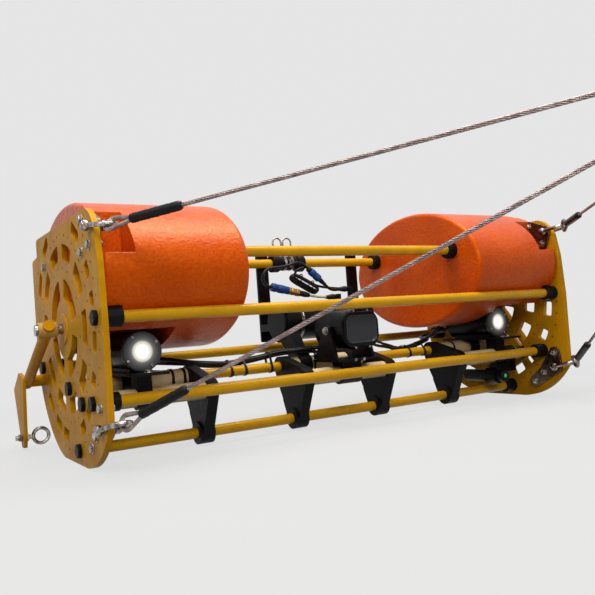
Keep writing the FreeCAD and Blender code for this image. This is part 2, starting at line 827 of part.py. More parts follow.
def camera_housing():
    rear_y = camera_pivot[0] + camera_rear
    body = camera_barrel(camera_face, rear_y, camera_radius)
    rear = [e for e in body.Edges if abs(e.CenterOfMass.y - rear_y) < 0.01]
    body = body.makeFillet(5.0, rear)
    reach = camera_radius + cradle_cheek_gap + cradle_cheek_thickness
    boss = camera_radius + cradle_cheek_gap - seat_gap
    pivot = drum(camera_centre - reach, camera_centre + reach, camera_pivot, pivot_radius)
    washers = drum(camera_centre - boss, camera_centre + boss, camera_pivot, 2 * pivot_radius)
    chamber = camera_barrel(camera_face, camera_face + camera_chamber_depth,
                            camera_radius - camera_wall)
    return body.fuse([pivot, washers]).cut(chamber)


def camera_lens():
    tube = camera_barrel(camera_face + 4, camera_face + camera_chamber_depth, camera_lens_radius)
    return tube.fuse(camera_barrel(camera_face - 1, camera_face + 4, 0.8 * camera_lens_radius))


def rounded_window(y0, y1, inset):
    half_width = window_width / 2 - inset
    half_height = window_height / 2 - inset
    pane = block(camera_centre - half_width, camera_centre + half_width, y0, y1,
                 camera_pivot[1] - half_height, camera_pivot[1] + half_height)
    corners = [e for e in pane.Edges if e.BoundBox.XLength < 0.01 and e.BoundBox.ZLength < 0.01]
    return pane.makeFillet(window_corner - inset, corners)


def camera_bezel():
    front_y = camera_face - camera_bezel_length
    ring = camera_barrel(front_y, camera_face, camera_bezel_radius)
    front = [e for e in ring.Edges if abs(e.CenterOfMass.y - front_y) < 0.01]
    ring = ring.makeFillet(3.0, front)
    return ring.cut([rounded_window(front_y - 1, front_y + window_recess, 0),
                     rounded_window(front_y - 1, camera_face + 1, window_seat)])


def camera_window():
    seat_y = camera_face - camera_bezel_length + window_recess
    return rounded_window(seat_y - window_thickness, seat_y, running_gap)


def camera_cradle():
    top = camera_pivot[1] - cradle_base_drop
    low = top - cradle_base_thickness
    inner = camera_radius + cradle_cheek_gap
    outer = inner + cradle_cheek_thickness
    base = block(camera_centre - outer, camera_centre + outer, cradle_front, cradle_back, low, top)
    feet = ((cradle_front + 2 * cradle_margin, low + cradle_margin),
            (cradle_back - 2 * cradle_margin, low + cradle_margin), camera_pivot)
    cheeks = [rounded_plate(camera_centre + x, cradle_cheek_thickness, feet, cradle_margin)
              for x in (-outer, inner)]
    half = cradle_saddle_width / 2
    body = base.fuse(cheeks + [saddle(camera_centre - half, camera_centre + half, mid_front, low)])
    bore = drum(camera_centre - 2 * outer, camera_centre + 2 * outer, camera_pivot,
                pivot_radius + running_gap)
    return body.cut(bore)


# Electronics housing, its saddles and the board behind it

board_front = top_back[0] + tube_radius + board_tube_gap
board_top = top_back[1] + board_rise
spacer_level = housing_place[1] - spacer_drop


def under_gland(x):
    """Gland on the housing's lower front, and the unit vector it points along."""
    y, z = polar(1.0, under_gland_angle)
    centre = V(x, housing_place[0], housing_place[1])
    outward = V(0, y, z)
    start = centre + outward * (housing_radius - gland_length / 2)
    end = centre + outward * (housing_radius + gland_length)
    return tube_between(start, end, gland_radius), end, outward


def elbow(place):
    """Right-angled entry on top of the housing; its lead comes in along +X at place."""
    x, y, z = place
    post = Part.makeCylinder(gland_radius, z + gland_radius - housing_place[1],
                             V(x, y, housing_place[1]))
    return post.fuse(drum(x - elbow_length, x, (y, z), gland_radius - 1))


def electronics_housing():
    end = housing_left + housing_length
    body = drum(housing_left, end, housing_place, housing_radius)
    body = body.makeFillet(3.0, [e for e in body.Edges if e.BoundBox.XLength < 0.01])
    grooves = []
    for x in (housing_left + housing_cap, end - housing_cap - 2):
        ring = drum(x, x + 2, housing_place, housing_radius + 1)
        grooves.append(ring.cut(drum(x - 1, x + 3, housing_place, housing_radius - 2)))
    body = body.cut(grooves)
    return body.fuse([under_gland(x)[0] for x in under_gland_places]
                     + [elbow(pale_elbow), elbow(trunk_elbow)])


def housing_saddle(x):
    """Upright that grips a back sleeve and the housing, with a spacer back to the board."""
    low = V(x, mid_back[0], mid_back[1])
    high = V(x, housing_place[0], housing_place[1])
    side = V(1, 0, 0).cross(high - low).normalize()
    corners = [low + side * saddle_low_half, high + side * saddle_high_half,
               high - side * saddle_high_half, low - side * saddle_low_half]
    web = Part.Face(Part.makePolygon(corners + [corners[0]])).extrude(V(saddle_width, 0, 0))
    grips = [drum(x, x + saddle_width, mid_back, sleeve_radius + clip_wall),
             drum(x, x + saddle_width, housing_place, housing_radius + clip_wall)]
    centre = x + saddle_width / 2
    half = spacer_width / 2
    spacer = block(centre - half, centre + half, housing_place[0], board_front - seat_gap,
                   spacer_level - half, spacer_level + half)
    return web.fuse(grips + [spacer]).cut([
        drum(x - 1, x + saddle_width + 1, mid_back, sleeve_radius + running_gap),
        drum(x - 1, x + saddle_width + 1, housing_place, housing_radius + running_gap),
        barrel(board_front - spacer_width, board_front, centre, spacer_level,
               board_screw_radius + running_gap)])


def board_fixings():
    """Places (x, z) of the board's screws: into the tube, then into the saddles' spacers."""
    spacers = [(x + saddle_width / 2, spacer_level) for x in saddle_positions]
    return [(x, top_back[1]) for x in board_strap_middles] + spacers


def backboard():
    """Flat board with two straps up to the tube, padded where they meet it."""
    inner_left = board_left + board_strap_width
    inner_right = board_right - board_strap_width
    outline = [(board_left, board_low), (board_right, board_low), (board_right, board_top),
               (inner_right, board_top), (inner_right, board_waist), (inner_left, board_waist),
               (inner_left, board_top), (board_left, board_top)]
    points = [V(x, board_front, z) for x, z in outline]
    board = Part.Face(Part.makePolygon(points + [points[0]])).extrude(V(0, board_thickness, 0))
    corners = [e for e in board.Edges if e.BoundBox.XLength < 0.01 and e.BoundBox.ZLength < 0.01]
    board = board.makeFillet(board_corner, corners)
    half = board_pad_width / 2
    pads = [block(x - half, x + half, top_back[0] + tube_radius / 2, board_front + 1,
                  top_back[1] - half, top_back[1] + half) for x in board_strap_middles]
    screw_holes = [barrel(top_back[0], board_front + board_thickness + 1, x, z,
                          board_screw_radius + running_gap) for x, z in board_fixings()]
    return board.fuse(pads).cut([drum(0, frame_length, top_back, tube_radius + running_gap)]
                                + screw_holes)


def board_screws():
    screws = []
    back_face = board_front + board_thickness
    for number, (x, z) in enumerate(board_fixings()):
        tip = top_back[0] + seat_gap if number < 2 else board_front - spacer_width + seat_gap
        screw = barrel(tip, back_face + board_washer_thickness, x, z, board_screw_radius)
        washer = barrel(back_face, back_face + board_washer_thickness, x, z, board_washer_radius)
        head = barrel(back_face, back_face + board_washer_thickness + board_screw_head, x, z,
                      board_screw_head)
        screws.append(screw.fuse([washer, head]))
    return screws


# Leads

def light_end_points(side):
    """Loop behind a light; side is 1 at the left light and -1 at the right one."""
    x = light_offset if side > 0 else frame_length - light_offset
    z = light_axis - light_gland_drop
    loop = ((0, 0, 0), (0, 40, 0), (25.5, 72, -6), (65.5, 76, -12), (97.5, 48, -16),
            (107.5, 6, -17))
    return [(x + side * dx, light_end + gland_length + dy, z + dz) for dx, dy, dz in loop]


def under_gland_points(x, side):
    """The last three turns into a gland below the housing, as far as its face."""
    end, outward = under_gland(x)[1:]
    step = 6.0 * lead_radius
    points = [end]
    for degrees in (0, 30, 60):
        angle = math.radians(degrees)
        run = V(-side * math.sin(angle), 0, 0) + outward * math.cos(angle)
        points.append(points[-1] + run * step)
    return [(p.x, p.y, p.z) for p in reversed(points)]


def left_light_lead():
    b = bracket_centres[0]
    along = [(b - 31, 12, -99), (b + 3, -7, -103), (b + 49, -13, -113), (b + 104, -12, -115.5),
             (b + 155, -12, -112.5), (b + 200, -14, -106.5), (b + 240, -24, -99.5),
             (middle - 97, -35, -97.5), (middle - 60, -36, -98), (middle - 28, -33, -101.5)]
    return lead(light_end_points(1) + along + under_gland_points(under_gland_places[0], 1),
                lead_radius, "left light lead")


def right_light_lead():
    b = bracket_centres[3]
    along = [(b + 29, 20, -99), (b - 4, -1, -103), (b - 44, -6, -113), (b - 87, -4, -120),
             (b - 127, -9, -119), (middle + 217, -26, -108)]
    return lead(light_end_points(-1) + along + under_gland_points(under_gland_places[1], -1),
                lead_radius, "right light lead")


def stepped(place, heading, steps):
    """Connector of stepped cylinders, and the far end of its axis."""
    here = V(*place)
    away = V(*heading).normalize()
    parts = []
    for length, radius in steps:
        parts.append(tube_between(here, here + away * length, radius))
        here = here + away * length
    return parts, here, away


def link_lead():
    """Loop from the low connector's blind end up to the high connector."""
    x, y, z = low_connector
    away = V(*low_connector_heading).normalize()
    first = V(x, y, z) - away * 16
    high = V(*high_connector)
    last = high - V(*high_connector_heading).normalize() * 20
    points = [low_connector, (first.x, y, first.z), (x - 26, y - 2, z + 15.6),
              (x - 27.5, y - 4, z + 31.5), (x - 19.3, y - 6, z + 45.2), (x - 2.7, y - 7, z + 52),
              (x + 22, y - 9, z + 53), (x + 52, y - 10, z + 57), (x + 78, y - 12, z + 66),
              (last.x, last.y, last.z), high_connector]
    return lead(points, lead_radius, "link lead")


def trunk_lead():
    end, away = stepped(high_connector, high_connector_heading, high_connector_steps)[1:]
    x, y, z = trunk_elbow
    first = end + away * 21
    points = [(end.x, end.y, end.z), (first.x, first.y, first.z), (x - 55, y - 1, z - 2.5),
              (x - elbow_length - 18, y, z), (x - elbow_length, y, z)]
    return lead(points, lead_radius, "trunk lead")


def pale_lead():
    end, away = stepped(low_connector, low_connector_heading, low_connector_steps)[1:]
    x, y, z = pale_elbow
    first = end + away * 17
    points = [(end.x, end.y, end.z), (first.x, first.y, first.z), (x - 53, y + 6, z + 1.5),
              (x - elbow_length - 17, y, z), (x - elbow_length, y, z)]
    return lead(points, pale_lead_radius, "pale lead")


# Lifting clamp

def lift_clamp():
    pieces = []
    core = drum(lift_centre - lift_half_width, lift_centre + lift_half_width, top_back,
                lift_core_radius)
    for x in (lift_centre - lift_half_width, lift_centre + lift_half_width - lift_ring_length):
        ring = drum(x, x + lift_ring_length, top_back, lift_ring_radius)
        rims = [e for e in ring.Edges if e.BoundBox.XLength < 0.01]
        pieces.append(ring.makeFillet(3.0, rims))
    body = core.fuse(pieces)
    holes = [Part.makeCylinder(bail_bar, 3 * lift_ring_radius,
                               V(x, top_back[0], top_back[1]), V(0, 0, 1)) for x in bail_feet()]
    body = body.cut(holes)
    return body.cut(drum(0, frame_length, top_back, tube_radius + running_gap))


def bail_centres():
    reach = bail_radius + bail_bar + 0.5
    return bail_middle - reach, bail_middle + reach


def bail_feet():
    return [c + s * bail_radius for c in bail_centres() for s in (-1, 1)]


def lift_bails():
    bails = []
    y, z = top_back
    for c in bail_centres():
        low = z + tube_radius + 2
        shoulder = bail_top - bail_bar - bail_radius
        left, right = c - bail_radius, c + bail_radius
        bails.append(swept([
            Part.LineSegment(V(left, y, low), V(left, y, shoulder)).toShape(),
            Part.Arc(V(left, y, shoulder), V(c, y, shoulder + bail_radius),
                     V(right, y, shoulder)).toShape(),
            Part.LineSegment(V(right, y, shoulder), V(right, y, low)).toShape()],
            bail_bar - running_gap))
    return bails


def build():
    plate = end_plate()
    save("left_end_plate", plate)
    save("right_end_plate", mirrored(plate))
    for name, place in tubes.items():
        save(name, frame_tube(place))
    float_end = left_inner + float_plate_gap + float_length + seat_gap
    save("rod_collars", both_ends([collar(left_inner, collar_length, p, collar_radius)
                                   for p in collared_tubes]
                                  + [collar(float_end, float_collar_length, p, float_collar_radius)
                                     for p in float_tubes]))
    save("frame_bolts", both_ends([end_screw(p) for p in tubes.values()]
                                  + [lug_bolt(p) for p in upper_lug_bolts + lower_lug_bolts]))
    save("rod_end_caps", both_ends([end_cap(p) for p in collared_tubes]))

    float_body = buoyancy_float()
    save("left_float", float_body)
    save("right_float", mirrored(float_body))

    for number, centre in enumerate(bracket_centres, 1):
        save("keel_bracket_%d" % number, keel_bracket(centre))
    save("payload_sleeves", [sleeve(a, b, p) for a, b in sleeve_spans()
                             for p in (mid_front, mid_back)])

    save("tow_lug_plates", both_ends(lug_plates()))
    for number in leg_ends:
        towing_leg(number)

    save("hub_pins", both_ends([hub_pin()]))
    save("left_arm_bush", turned(arm_bush(), left_arm_angle))
    save("right_arm_bush", mirrored(turned(arm_bush(), right_arm_angle)))
    save("left_trim_arm", left_arm())
    save("right_trim_arm", right_arm())
    save("arm_eye_bolt", eye_bolt())

    save("light_housings", both_ends([light_housing()]))
    save("light_bezels", both_ends([light_bezel()]))
    save("light_lenses", both_ends([light_lens()]))
    save("light_emitters", both_ends([light_emitter()]))
    save("light_bases", both_ends([light_base()]))
    save("laser_pointer", laser_body())

    save("camera_housing", [camera_housing(), camera_lens()])
    save("camera_bezel", camera_bezel())
    save("camera_window", camera_window())
    save("camera_cradle", camera_cradle())

    save("electronics_housing", electronics_housing())
    save("payload_clips", [housing_saddle(x) for x in saddle_positions] + [laser_clip()])
    save("rear_straps", [backboard()] + board_screws())
    save("lift_clamp", lift_clamp())
    save("lift_bails", lift_bails())

    save("lead_left_light", left_light_lead())
    save("lead_right_light", right_light_lead())
    save("lead_link", link_lead())
    save("lead_trunk", trunk_lead())
    save("lead_pale", pale_lead())
    save("lead_connectors", stepped(low_connector, low_connector_heading, low_connector_steps)[0]
         + stepped(high_connector, high_connector_heading, high_connector_steps)[0])


build()
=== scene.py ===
import bpy
import bmesh
import math
from mathutils import Matrix, Vector


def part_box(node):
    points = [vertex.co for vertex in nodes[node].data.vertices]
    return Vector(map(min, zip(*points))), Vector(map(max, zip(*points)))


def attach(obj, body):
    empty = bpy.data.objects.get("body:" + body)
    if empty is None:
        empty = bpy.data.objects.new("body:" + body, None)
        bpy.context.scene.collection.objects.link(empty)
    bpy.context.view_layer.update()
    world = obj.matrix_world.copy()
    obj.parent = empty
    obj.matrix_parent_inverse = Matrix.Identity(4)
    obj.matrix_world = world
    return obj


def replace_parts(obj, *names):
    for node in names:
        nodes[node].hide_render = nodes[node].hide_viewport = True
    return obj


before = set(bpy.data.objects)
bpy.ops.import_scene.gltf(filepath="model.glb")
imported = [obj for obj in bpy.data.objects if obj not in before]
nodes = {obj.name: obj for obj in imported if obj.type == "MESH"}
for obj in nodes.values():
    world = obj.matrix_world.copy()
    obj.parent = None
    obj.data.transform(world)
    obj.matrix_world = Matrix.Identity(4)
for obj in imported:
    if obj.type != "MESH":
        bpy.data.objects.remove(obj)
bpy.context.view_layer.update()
scene = bpy.context.scene
FRAME_LENGTH = 1.330
MIDDLE = FRAME_LENGTH / 2
X_AXIS, Y_AXIS, Z_AXIS = Vector((1, 0, 0)), Vector((0, 1, 0)), Vector((0, 0, 1))

# Camera, fitted to the photograph

PHOTO_WIDTH = 595
FOCAL_PIXELS = 702.8
SENSOR_WIDTH = 36.0
eye = Vector((-0.380, -1.5842, -0.0286))
right = Vector((0.8474, -0.5260, -0.0718)).normalized()
forward = Vector((0.5290, 0.8481, 0.0293)).normalized()
up = right.cross(forward).normalized()
right = forward.cross(up).normalized()
camera_data = bpy.data.cameras.new("camera")
camera_data.sensor_width = SENSOR_WIDTH
camera_data.lens = FOCAL_PIXELS / PHOTO_WIDTH * SENSOR_WIDTH
camera_data.shift_x = 0.0003
camera_data.shift_y = 0.0121
camera_data.clip_start = 0.02
camera = bpy.data.objects.new("camera", camera_data)
scene.collection.objects.link(camera)
camera.matrix_world = Matrix((
    (right.x, up.x, -forward.x, eye.x),
    (right.y, up.y, -forward.y, eye.y),
    (right.z, up.z, -forward.z, eye.z),
    (0, 0, 0, 1)))
scene.camera = camera
scene.view_settings.view_transform = "Standard"


# Mesh helpers

def add_object(name, mesh, body, material, smooth):
    """Put a mesh into the scene on a body, shaded smooth below an angle in degrees."""
    piece = bpy.data.objects.new(name, mesh)
    scene.collection.objects.link(piece)
    mesh.materials.append(material)
    work = bmesh.new()
    work.from_mesh(mesh)
    for face in work.faces:
        face.smooth = True
    for edge in work.edges:
        edge.smooth = edge.calc_face_angle(0.0) < math.radians(smooth)
    work.to_mesh(mesh)
    work.free()
    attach(piece, body)
    return piece


def basis(axis):
    """Two directions across an axis."""
    axis = Vector(axis).normalized()
    guess = Vector((0, 0, 1)) if abs(axis.z) < 0.9 else Vector((1, 0, 0))
    side = axis.cross(guess).normalized()
    return side, axis.cross(side).normalized()


def turned(side, other, angle):
    """Point of the circle or oval with the half axes side and other, at an angle."""
    return side * math.cos(angle) + other * math.sin(angle)


def strip(work, low, high):
    """Closed band of faces between two rings of vertices."""
    for k in range(len(low)):
        nxt = (k + 1) % len(low)
        work.faces.new((low[k], low[nxt], high[nxt], high[k]))


def ring_strips(work, loops):
    """Closed strips between loops of points, all of one length."""
    rings = [[work.verts.new(point) for point in loop] for loop in loops]
    for low, high in zip(rings, rings[1:]):
        strip(work, low, high)


def lathe(work, profile, origin, axis, count, phase=0.0):
    """Revolve (radius, distance along axis) points, closed where a radius is 0."""
    origin, axis = Vector(origin), Vector(axis).normalized()
    side, other = basis(axis)
    rings = []
    for radius, along in profile:
        centre = origin + axis * along
        if radius < 1e-6:
            rings.append([work.verts.new(centre)])
            continue
        ring = []
        for k in range(count):
            angle = phase + 2 * math.pi * k / count
            ring.append(work.verts.new(centre + turned(side, other, angle) * radius))
        rings.append(ring)
    for low, high in zip(rings, rings[1:]):
        if len(low) > 1 and len(high) > 1:
            strip(work, low, high)
            continue
        for k in range(count):
            nxt = (k + 1) % count
            if len(high) > 1:
                work.faces.new((low[0], high[nxt], high[k]))
            elif len(low) > 1:
                work.faces.new((low[k], low[nxt], high[0]))


def finish_mesh(work, name, body, material, smooth=35.0):
    """Turn a worked mesh into a named piece."""
    bmesh.ops.recalc_face_normals(work, faces=work.faces)
    mesh = bpy.data.meshes.new(name)
    work.to_mesh(mesh)
    work.free()
    return add_object(name, mesh, body, material, smooth)


def tube(work, path, radius, sides, closed=False):
    """Round bar along points, capped unless it is closed, with frames carried along the path."""
    count = len(path)
    tangents = []
    for k in range(count):
        before = path[(k - 1) % count] if closed or k > 0 else path[k]
        after = path[(k + 1) % count] if closed or k < count - 1 else path[k]
        tangents.append((after - before).normalized())
    side, _ = basis(tangents[0])
    rings = []
    for k, (point, tangent) in enumerate(zip(path, tangents)):
        side = (side - tangent * side.dot(tangent)).normalized()
        other = tangent.cross(side)
        size = radius(k / max(count - 1, 1)) if callable(radius) else radius
        rings.append([work.verts.new(point + turned(side, other, 2 * math.pi * j / sides) * size)
                      for j in range(sides)])
    spans = list(zip(rings, rings[1:]))
    if closed:
        spans.append((rings[-1], rings[0]))
    for low, high in spans:
        strip(work, low, high)
    if not closed:
        work.faces.new(list(reversed(rings[0])))
        work.faces.new(rings[-1])


# Fasteners: a size is a radius and a height

def hexagon(work, place, axis, radius, height, phase):
    """Hexagon head or nut with a chamfered top, standing on place."""
    lathe(work, [(radius, 0.0), (radius, height * 0.78), (radius * 0.86, height), (0.0, height)],
          place, axis, 6, phase)


def washer(work, place, axis, radius, thickness):
    """Round washer with a softened rim, standing on place."""
    lathe(work, [(radius, 0.0), (radius, thickness * 0.7), (radius * 0.97, thickness), (0.0, thickness)],
          place, axis, 28)


def bolt(work, place, axis, washer_size, head_size, phase):
    """Washer on a face, and the hexagon head or nut that stands on it."""
    washer(work, place, axis, *washer_size)
    hexagon(work, place + axis * washer_size[1], axis, *head_size, phase)


def socket_head(work, place, axis, radius, height):
    """Cap head with a round recess, standing on place."""
    lathe(work, [(radius, 0.0), (radius, height * 0.8), (radius * 0.9, height), (radius * 0.55, height),
                 (radius * 0.5, height * 0.45), (0.0, height * 0.45)], place, axis, 20)


# Materials

def node_tree(name):
    """New material, with its node tree and shader."""
    material = bpy.data.materials.new(name)
    material.use_nodes = True
    tree = material.node_tree
    shader = tree.nodes["Principled BSDF"]
    return material, tree, shader


def fill(node, **sockets):
    """Set a node's sockets by their names, with _ for a space."""
    for key, value in sockets.items():
        node.inputs[key.replace("_", " ")].default_value = value


def add(tree, kind, **sockets):
    """New node with its sockets set."""
    node = tree.nodes.new(kind)
    fill(node, **sockets)
    return node


def object_place(tree):
    """Where a point lies on its piece."""
    return tree.nodes.new("ShaderNodeTexCoord").outputs["Object"]


def maths(tree, operation, first, second):
    """Math node on a value and a second value or number."""
    node = tree.nodes.new("ShaderNodeMath")
    node.operation = operation
    tree.links.new(first, node.inputs[0])
    if isinstance(second, float):
        node.inputs[1].default_value = second
    else:
        tree.links.new(second, node.inputs[1])
    return node.outputs["Value"]


def noise(tree, scale, detail=4.0, rough=0.55):
    """Noise over the piece, finer where scale is larger."""
    node = add(tree, "ShaderNodeTexNoise", Scale=scale, Detail=detail, Roughness=rough)
    tree.links.new(object_place(tree), node.inputs["Vector"])
    return node.outputs["Fac"]


def ramp(tree, value, stops):
    """Colours along a value, from (place, colour) stops."""
    node = tree.nodes.new("ShaderNodeValToRGB")
    while len(node.color_ramp.elements) < len(stops):
        node.color_ramp.elements.new(0.5)
    for element, (place, colour) in zip(node.color_ramp.elements, stops):
        element.position = place
        element.color = (*colour, 1)
    tree.links.new(value, node.inputs["Fac"])
    return node.outputs["Color"]


def spread(tree, value, low, high, start=0.3, end=0.7):
    """Value from start to end made to run from low to high."""
    node = add(tree, "ShaderNodeMapRange", From_Min=start, From_Max=end, To_Min=low, To_Max=high)
    tree.links.new(value, node.inputs["Value"])
    return node.outputs["Result"]


def bump(tree, shader, value, strength, distance, normal=None):
    """Fine relief on a shader, over a softened normal where one is given."""
    node = add(tree, "ShaderNodeBump", Strength=strength, Distance=distance)
    tree.links.new(value, node.inputs["Height"])
    if normal:
        tree.links.new(normal, node.inputs["Normal"])
    tree.links.new(node.outputs["Normal"], shader.inputs["Normal"])


BEVEL_SAMPLES = 4


def worn_and_highlit_edges(tree, colour, radius, wear_and_highlight, amount):
    """Soft edges, and a second colour along them: a painted highlight on the yellow plates' rims, and
    wear on the other finishes.
    """
    bevel = add(tree, "ShaderNodeBevel", Radius=radius)
    bevel.samples = BEVEL_SAMPLES
    geometry = tree.nodes.new("ShaderNodeNewGeometry")
    turn = tree.nodes.new("ShaderNodeVectorMath")
    turn.operation = "DOT_PRODUCT"
    tree.links.new(bevel.outputs["Normal"], turn.inputs[0])
    tree.links.new(geometry.outputs["Normal"], turn.inputs[1])
    edge = spread(tree, turn.outputs["Value"], amount, 0.0, 0.80, 0.97)
    patch = spread(tree, noise(tree, 90.0, 5.0, 0.65), 0.0, 1.0, 0.42, 0.6)
    mix = tree.nodes.new("ShaderNodeMix")
    mix.data_type = "RGBA"
    tree.links.new(maths(tree, "MULTIPLY", edge, patch), mix.inputs["Factor"])
    tree.links.new(colour, mix.inputs["A"])
    # Second colour along the edges: a painted highlight on the yellow plates, and wear on the other
    # finishes
    mix.inputs["B"].default_value = (*wear_and_highlight, 1)
    return mix.outputs["Result"], bevel.outputs["Normal"]


def surface(name, tones, rough, scale, metallic=0.0, bump_scale=220.0, bump_depth=0.0002,
            bump_strength=0.4, specular=0.5, edge=0.0008, wear_and_highlight=None, amount=0.0, tint=None):
    """Painted, moulded or metal surface: blotched colour, uneven gloss and fine relief."""
    material, tree, shader = node_tree(name)
    blotch = noise(tree, scale, 4.0, 0.6)
    colour = ramp(tree, blotch, tones)
    normal = None
    if edge:
        colour, normal = worn_and_highlit_edges(tree, colour, edge, wear_and_highlight or tones[-1][1], amount)
    tree.links.new(colour, shader.inputs["Base Color"])
    tree.links.new(spread(tree, noise(tree, scale * 2.3, 5.0, 0.6), *rough),
                   shader.inputs["Roughness"])
    fill(shader, Metallic=metallic, Specular_IOR_Level=specular)
    if tint:
        fill(shader, Specular_Tint=(*tint, 1))
    bump(tree, shader, noise(tree, bump_scale, 3.0, 0.6), bump_strength, bump_depth, normal)
    return material


GOLDEN = (1.0, 0.62, 0.10)
BLACK_GLOSS = 0.09
# The lighter yellow along the plates' edges is a painted highlight on their rims
yellow_plate = surface("yellow_plate", [(0.25, (0.40, 0.178, 0.0022)), (0.5, (0.53, 0.245, 0.0032)),
                                        (0.75, (0.66, 0.325, 0.009))], (0.34, 0.5), scale=9.0,
                       bump_scale=420.0, bump_depth=0.0001, specular=0.10, edge=0.0014,
                       wear_and_highlight=(0.86, 0.56, 0.10), amount=0.85, tint=GOLDEN)
yellow_tube = surface("yellow_tube", [(0.25, (0.50, 0.245, 0.003)), (0.6, (0.59, 0.305, 0.005)),
                                      (0.85, (0.67, 0.37, 0.014))], (0.22, 0.38), scale=14.0,
                      bump_scale=500.0, bump_depth=0.00008, specular=0.6, edge=0.0, tint=GOLDEN)
black_plastic = surface("black_plastic", [(0.3, (0.0028, 0.0026, 0.0028)), (0.7, (0.006, 0.0056, 0.006)),
                                          (0.85, (0.013, 0.012, 0.0115))], (0.34, 0.55), scale=45.0,
                        bump_scale=700.0, bump_depth=0.0001, wear_and_highlight=(0.09, 0.085, 0.08), amount=0.6,
                        specular=BLACK_GLOSS)
black_metal = surface("black_metal", [(0.3, (0.0026, 0.0024, 0.0026)), (0.75, (0.006, 0.0055, 0.006)),
                                      (0.9, (0.016, 0.015, 0.015))], (0.24, 0.42), scale=38.0,
                      bump_scale=600.0, bump_depth=0.00006, wear_and_highlight=(0.08, 0.08, 0.08), amount=0.5,
                      specular=BLACK_GLOSS)
cream_sleeve = surface("cream_sleeve", [(0.3, (0.50, 0.37, 0.17)), (0.6, (0.66, 0.53, 0.29)),
                                        (0.85, (0.74, 0.63, 0.40))], (0.42, 0.6), scale=22.0,
                       bump_scale=300.0, bump_depth=0.0001, specular=0.3)
yellow_bush = surface("yellow_bush", [(0.3, (0.38, 0.21, 0.035)), (0.6, (0.48, 0.29, 0.07)),
                                      (0.85, (0.54, 0.38, 0.15))], (0.35, 0.5), scale=40.0,
                      bump_scale=300.0, bump_depth=0.0001, specular=0.3)
stainless = surface("stainless", [(0.28, (0.055, 0.042, 0.036)), (0.5, (0.26, 0.225, 0.21)),
                                  (0.72, (0.66, 0.62, 0.60))], (0.16, 0.40), metallic=1.0, scale=75.0,
                    bump_scale=500.0, bump_depth=0.0001, edge=0.0006, amount=0.6)
lug_steel = surface("lug_steel", [(0.25, (0.055, 0.032, 0.020)), (0.55, (0.16, 0.11, 0.08)),
                                  (0.8, (0.42, 0.35, 0.30))], (0.22, 0.42), metallic=1.0, scale=30.0,
                    bump_scale=300.0, bump_depth=0.0001, edge=0.001, wear_and_highlight=(0.7, 0.64, 0.58), amount=0.7)
wire_steel = surface("wire_steel", [(0.3, (0.15, 0.105, 0.095)), (0.55, (0.29, 0.225, 0.21)),
                                    (0.8, (0.48, 0.41, 0.40))], (0.26, 0.42), metallic=0.85, scale=60.0,
                     bump_scale=1500.0, bump_depth=0.0001, edge=0.0)
wire_core = surface("wire_core", [(0.3, (0.020, 0.008, 0.006)), (0.8, (0.045, 0.022, 0.018))],
                    (0.6, 0.8), scale=90.0, edge=0.0, specular=0.1)
shrink = surface("shrink_sleeve", [(0.3, (0.0028, 0.0026, 0.0028)), (0.8, (0.010, 0.0095, 0.010))],
                 (0.26, 0.44), scale=40.0, bump_scale=160.0, bump_depth=0.0006, bump_strength=0.5,
                 edge=0.0, specular=0.16)
jacket = surface("black_jacket", [(0.3, (0.0028, 0.0026, 0.0028)), (0.8, (0.011, 0.0105, 0.011))],
                 (0.24, 0.40), scale=60.0, bump_scale=500.0, bump_depth=0.0001, edge=0.0, specular=0.2)
blue_shell = surface("blue_shell", [(0.3, (0.004, 0.030, 0.13)), (0.6, (0.009, 0.058, 0.22)),
                                    (0.85, (0.03, 0.12, 0.36))], (0.28, 0.45), scale=70.0,
                     bump_scale=600.0, bump_depth=0.0001, edge=0.0005, amount=0.4, specular=0.3)
gold_shell = surface("gold_shell", [(0.3, (0.36, 0.17, 0.03)), (0.6, (0.56, 0.31, 0.07)),
                                    (0.85, (0.78, 0.55, 0.24))], (0.20, 0.36), metallic=0.85, scale=60.0,
                     bump_scale=500.0, bump_depth=0.0001, edge=0.0005, amount=0.4)
brown_shell = surface("brown_shell", [(0.3, (0.018, 0.008, 0.005)), (0.6, (0.038, 0.018, 0.012)),
                                      (0.85, (0.08, 0.045, 0.033))], (0.3, 0.5), scale=60.0,
                      bump_scale=500.0, bump_depth=0.0001, edge=0.0005, amount=0.4, specular=0.2)


def striped_jacket():
    """Pale jacket with dark slanting stripes."""
    material, tree, shader = node_tree("striped_jacket")
    wave = add(tree, "ShaderNodeTexWave", Scale=38.0, Distortion=1.5, Detail=1.0)
    wave.bands_direction = "DIAGONAL"
    tree.links.new(object_place(tree), wave.inputs["Vector"])
    stripes = ramp(tree, wave.outputs["Fac"], [(0.35, (0.55, 0.51, 0.42)), (0.55, (0.10, 0.09, 0.08)),
                                               (0.75, (0.58, 0.54, 0.46))])
    tree.links.new(stripes, shader.inputs["Base Color"])
    tree.links.new(spread(tree, noise(tree, 80.0), 0.35, 0.5), shader.inputs["Roughness"])
    bump(tree, shader, noise(tree, 500.0), 0.3, 0.0001)
    return material


pale_jacket = striped_jacket()


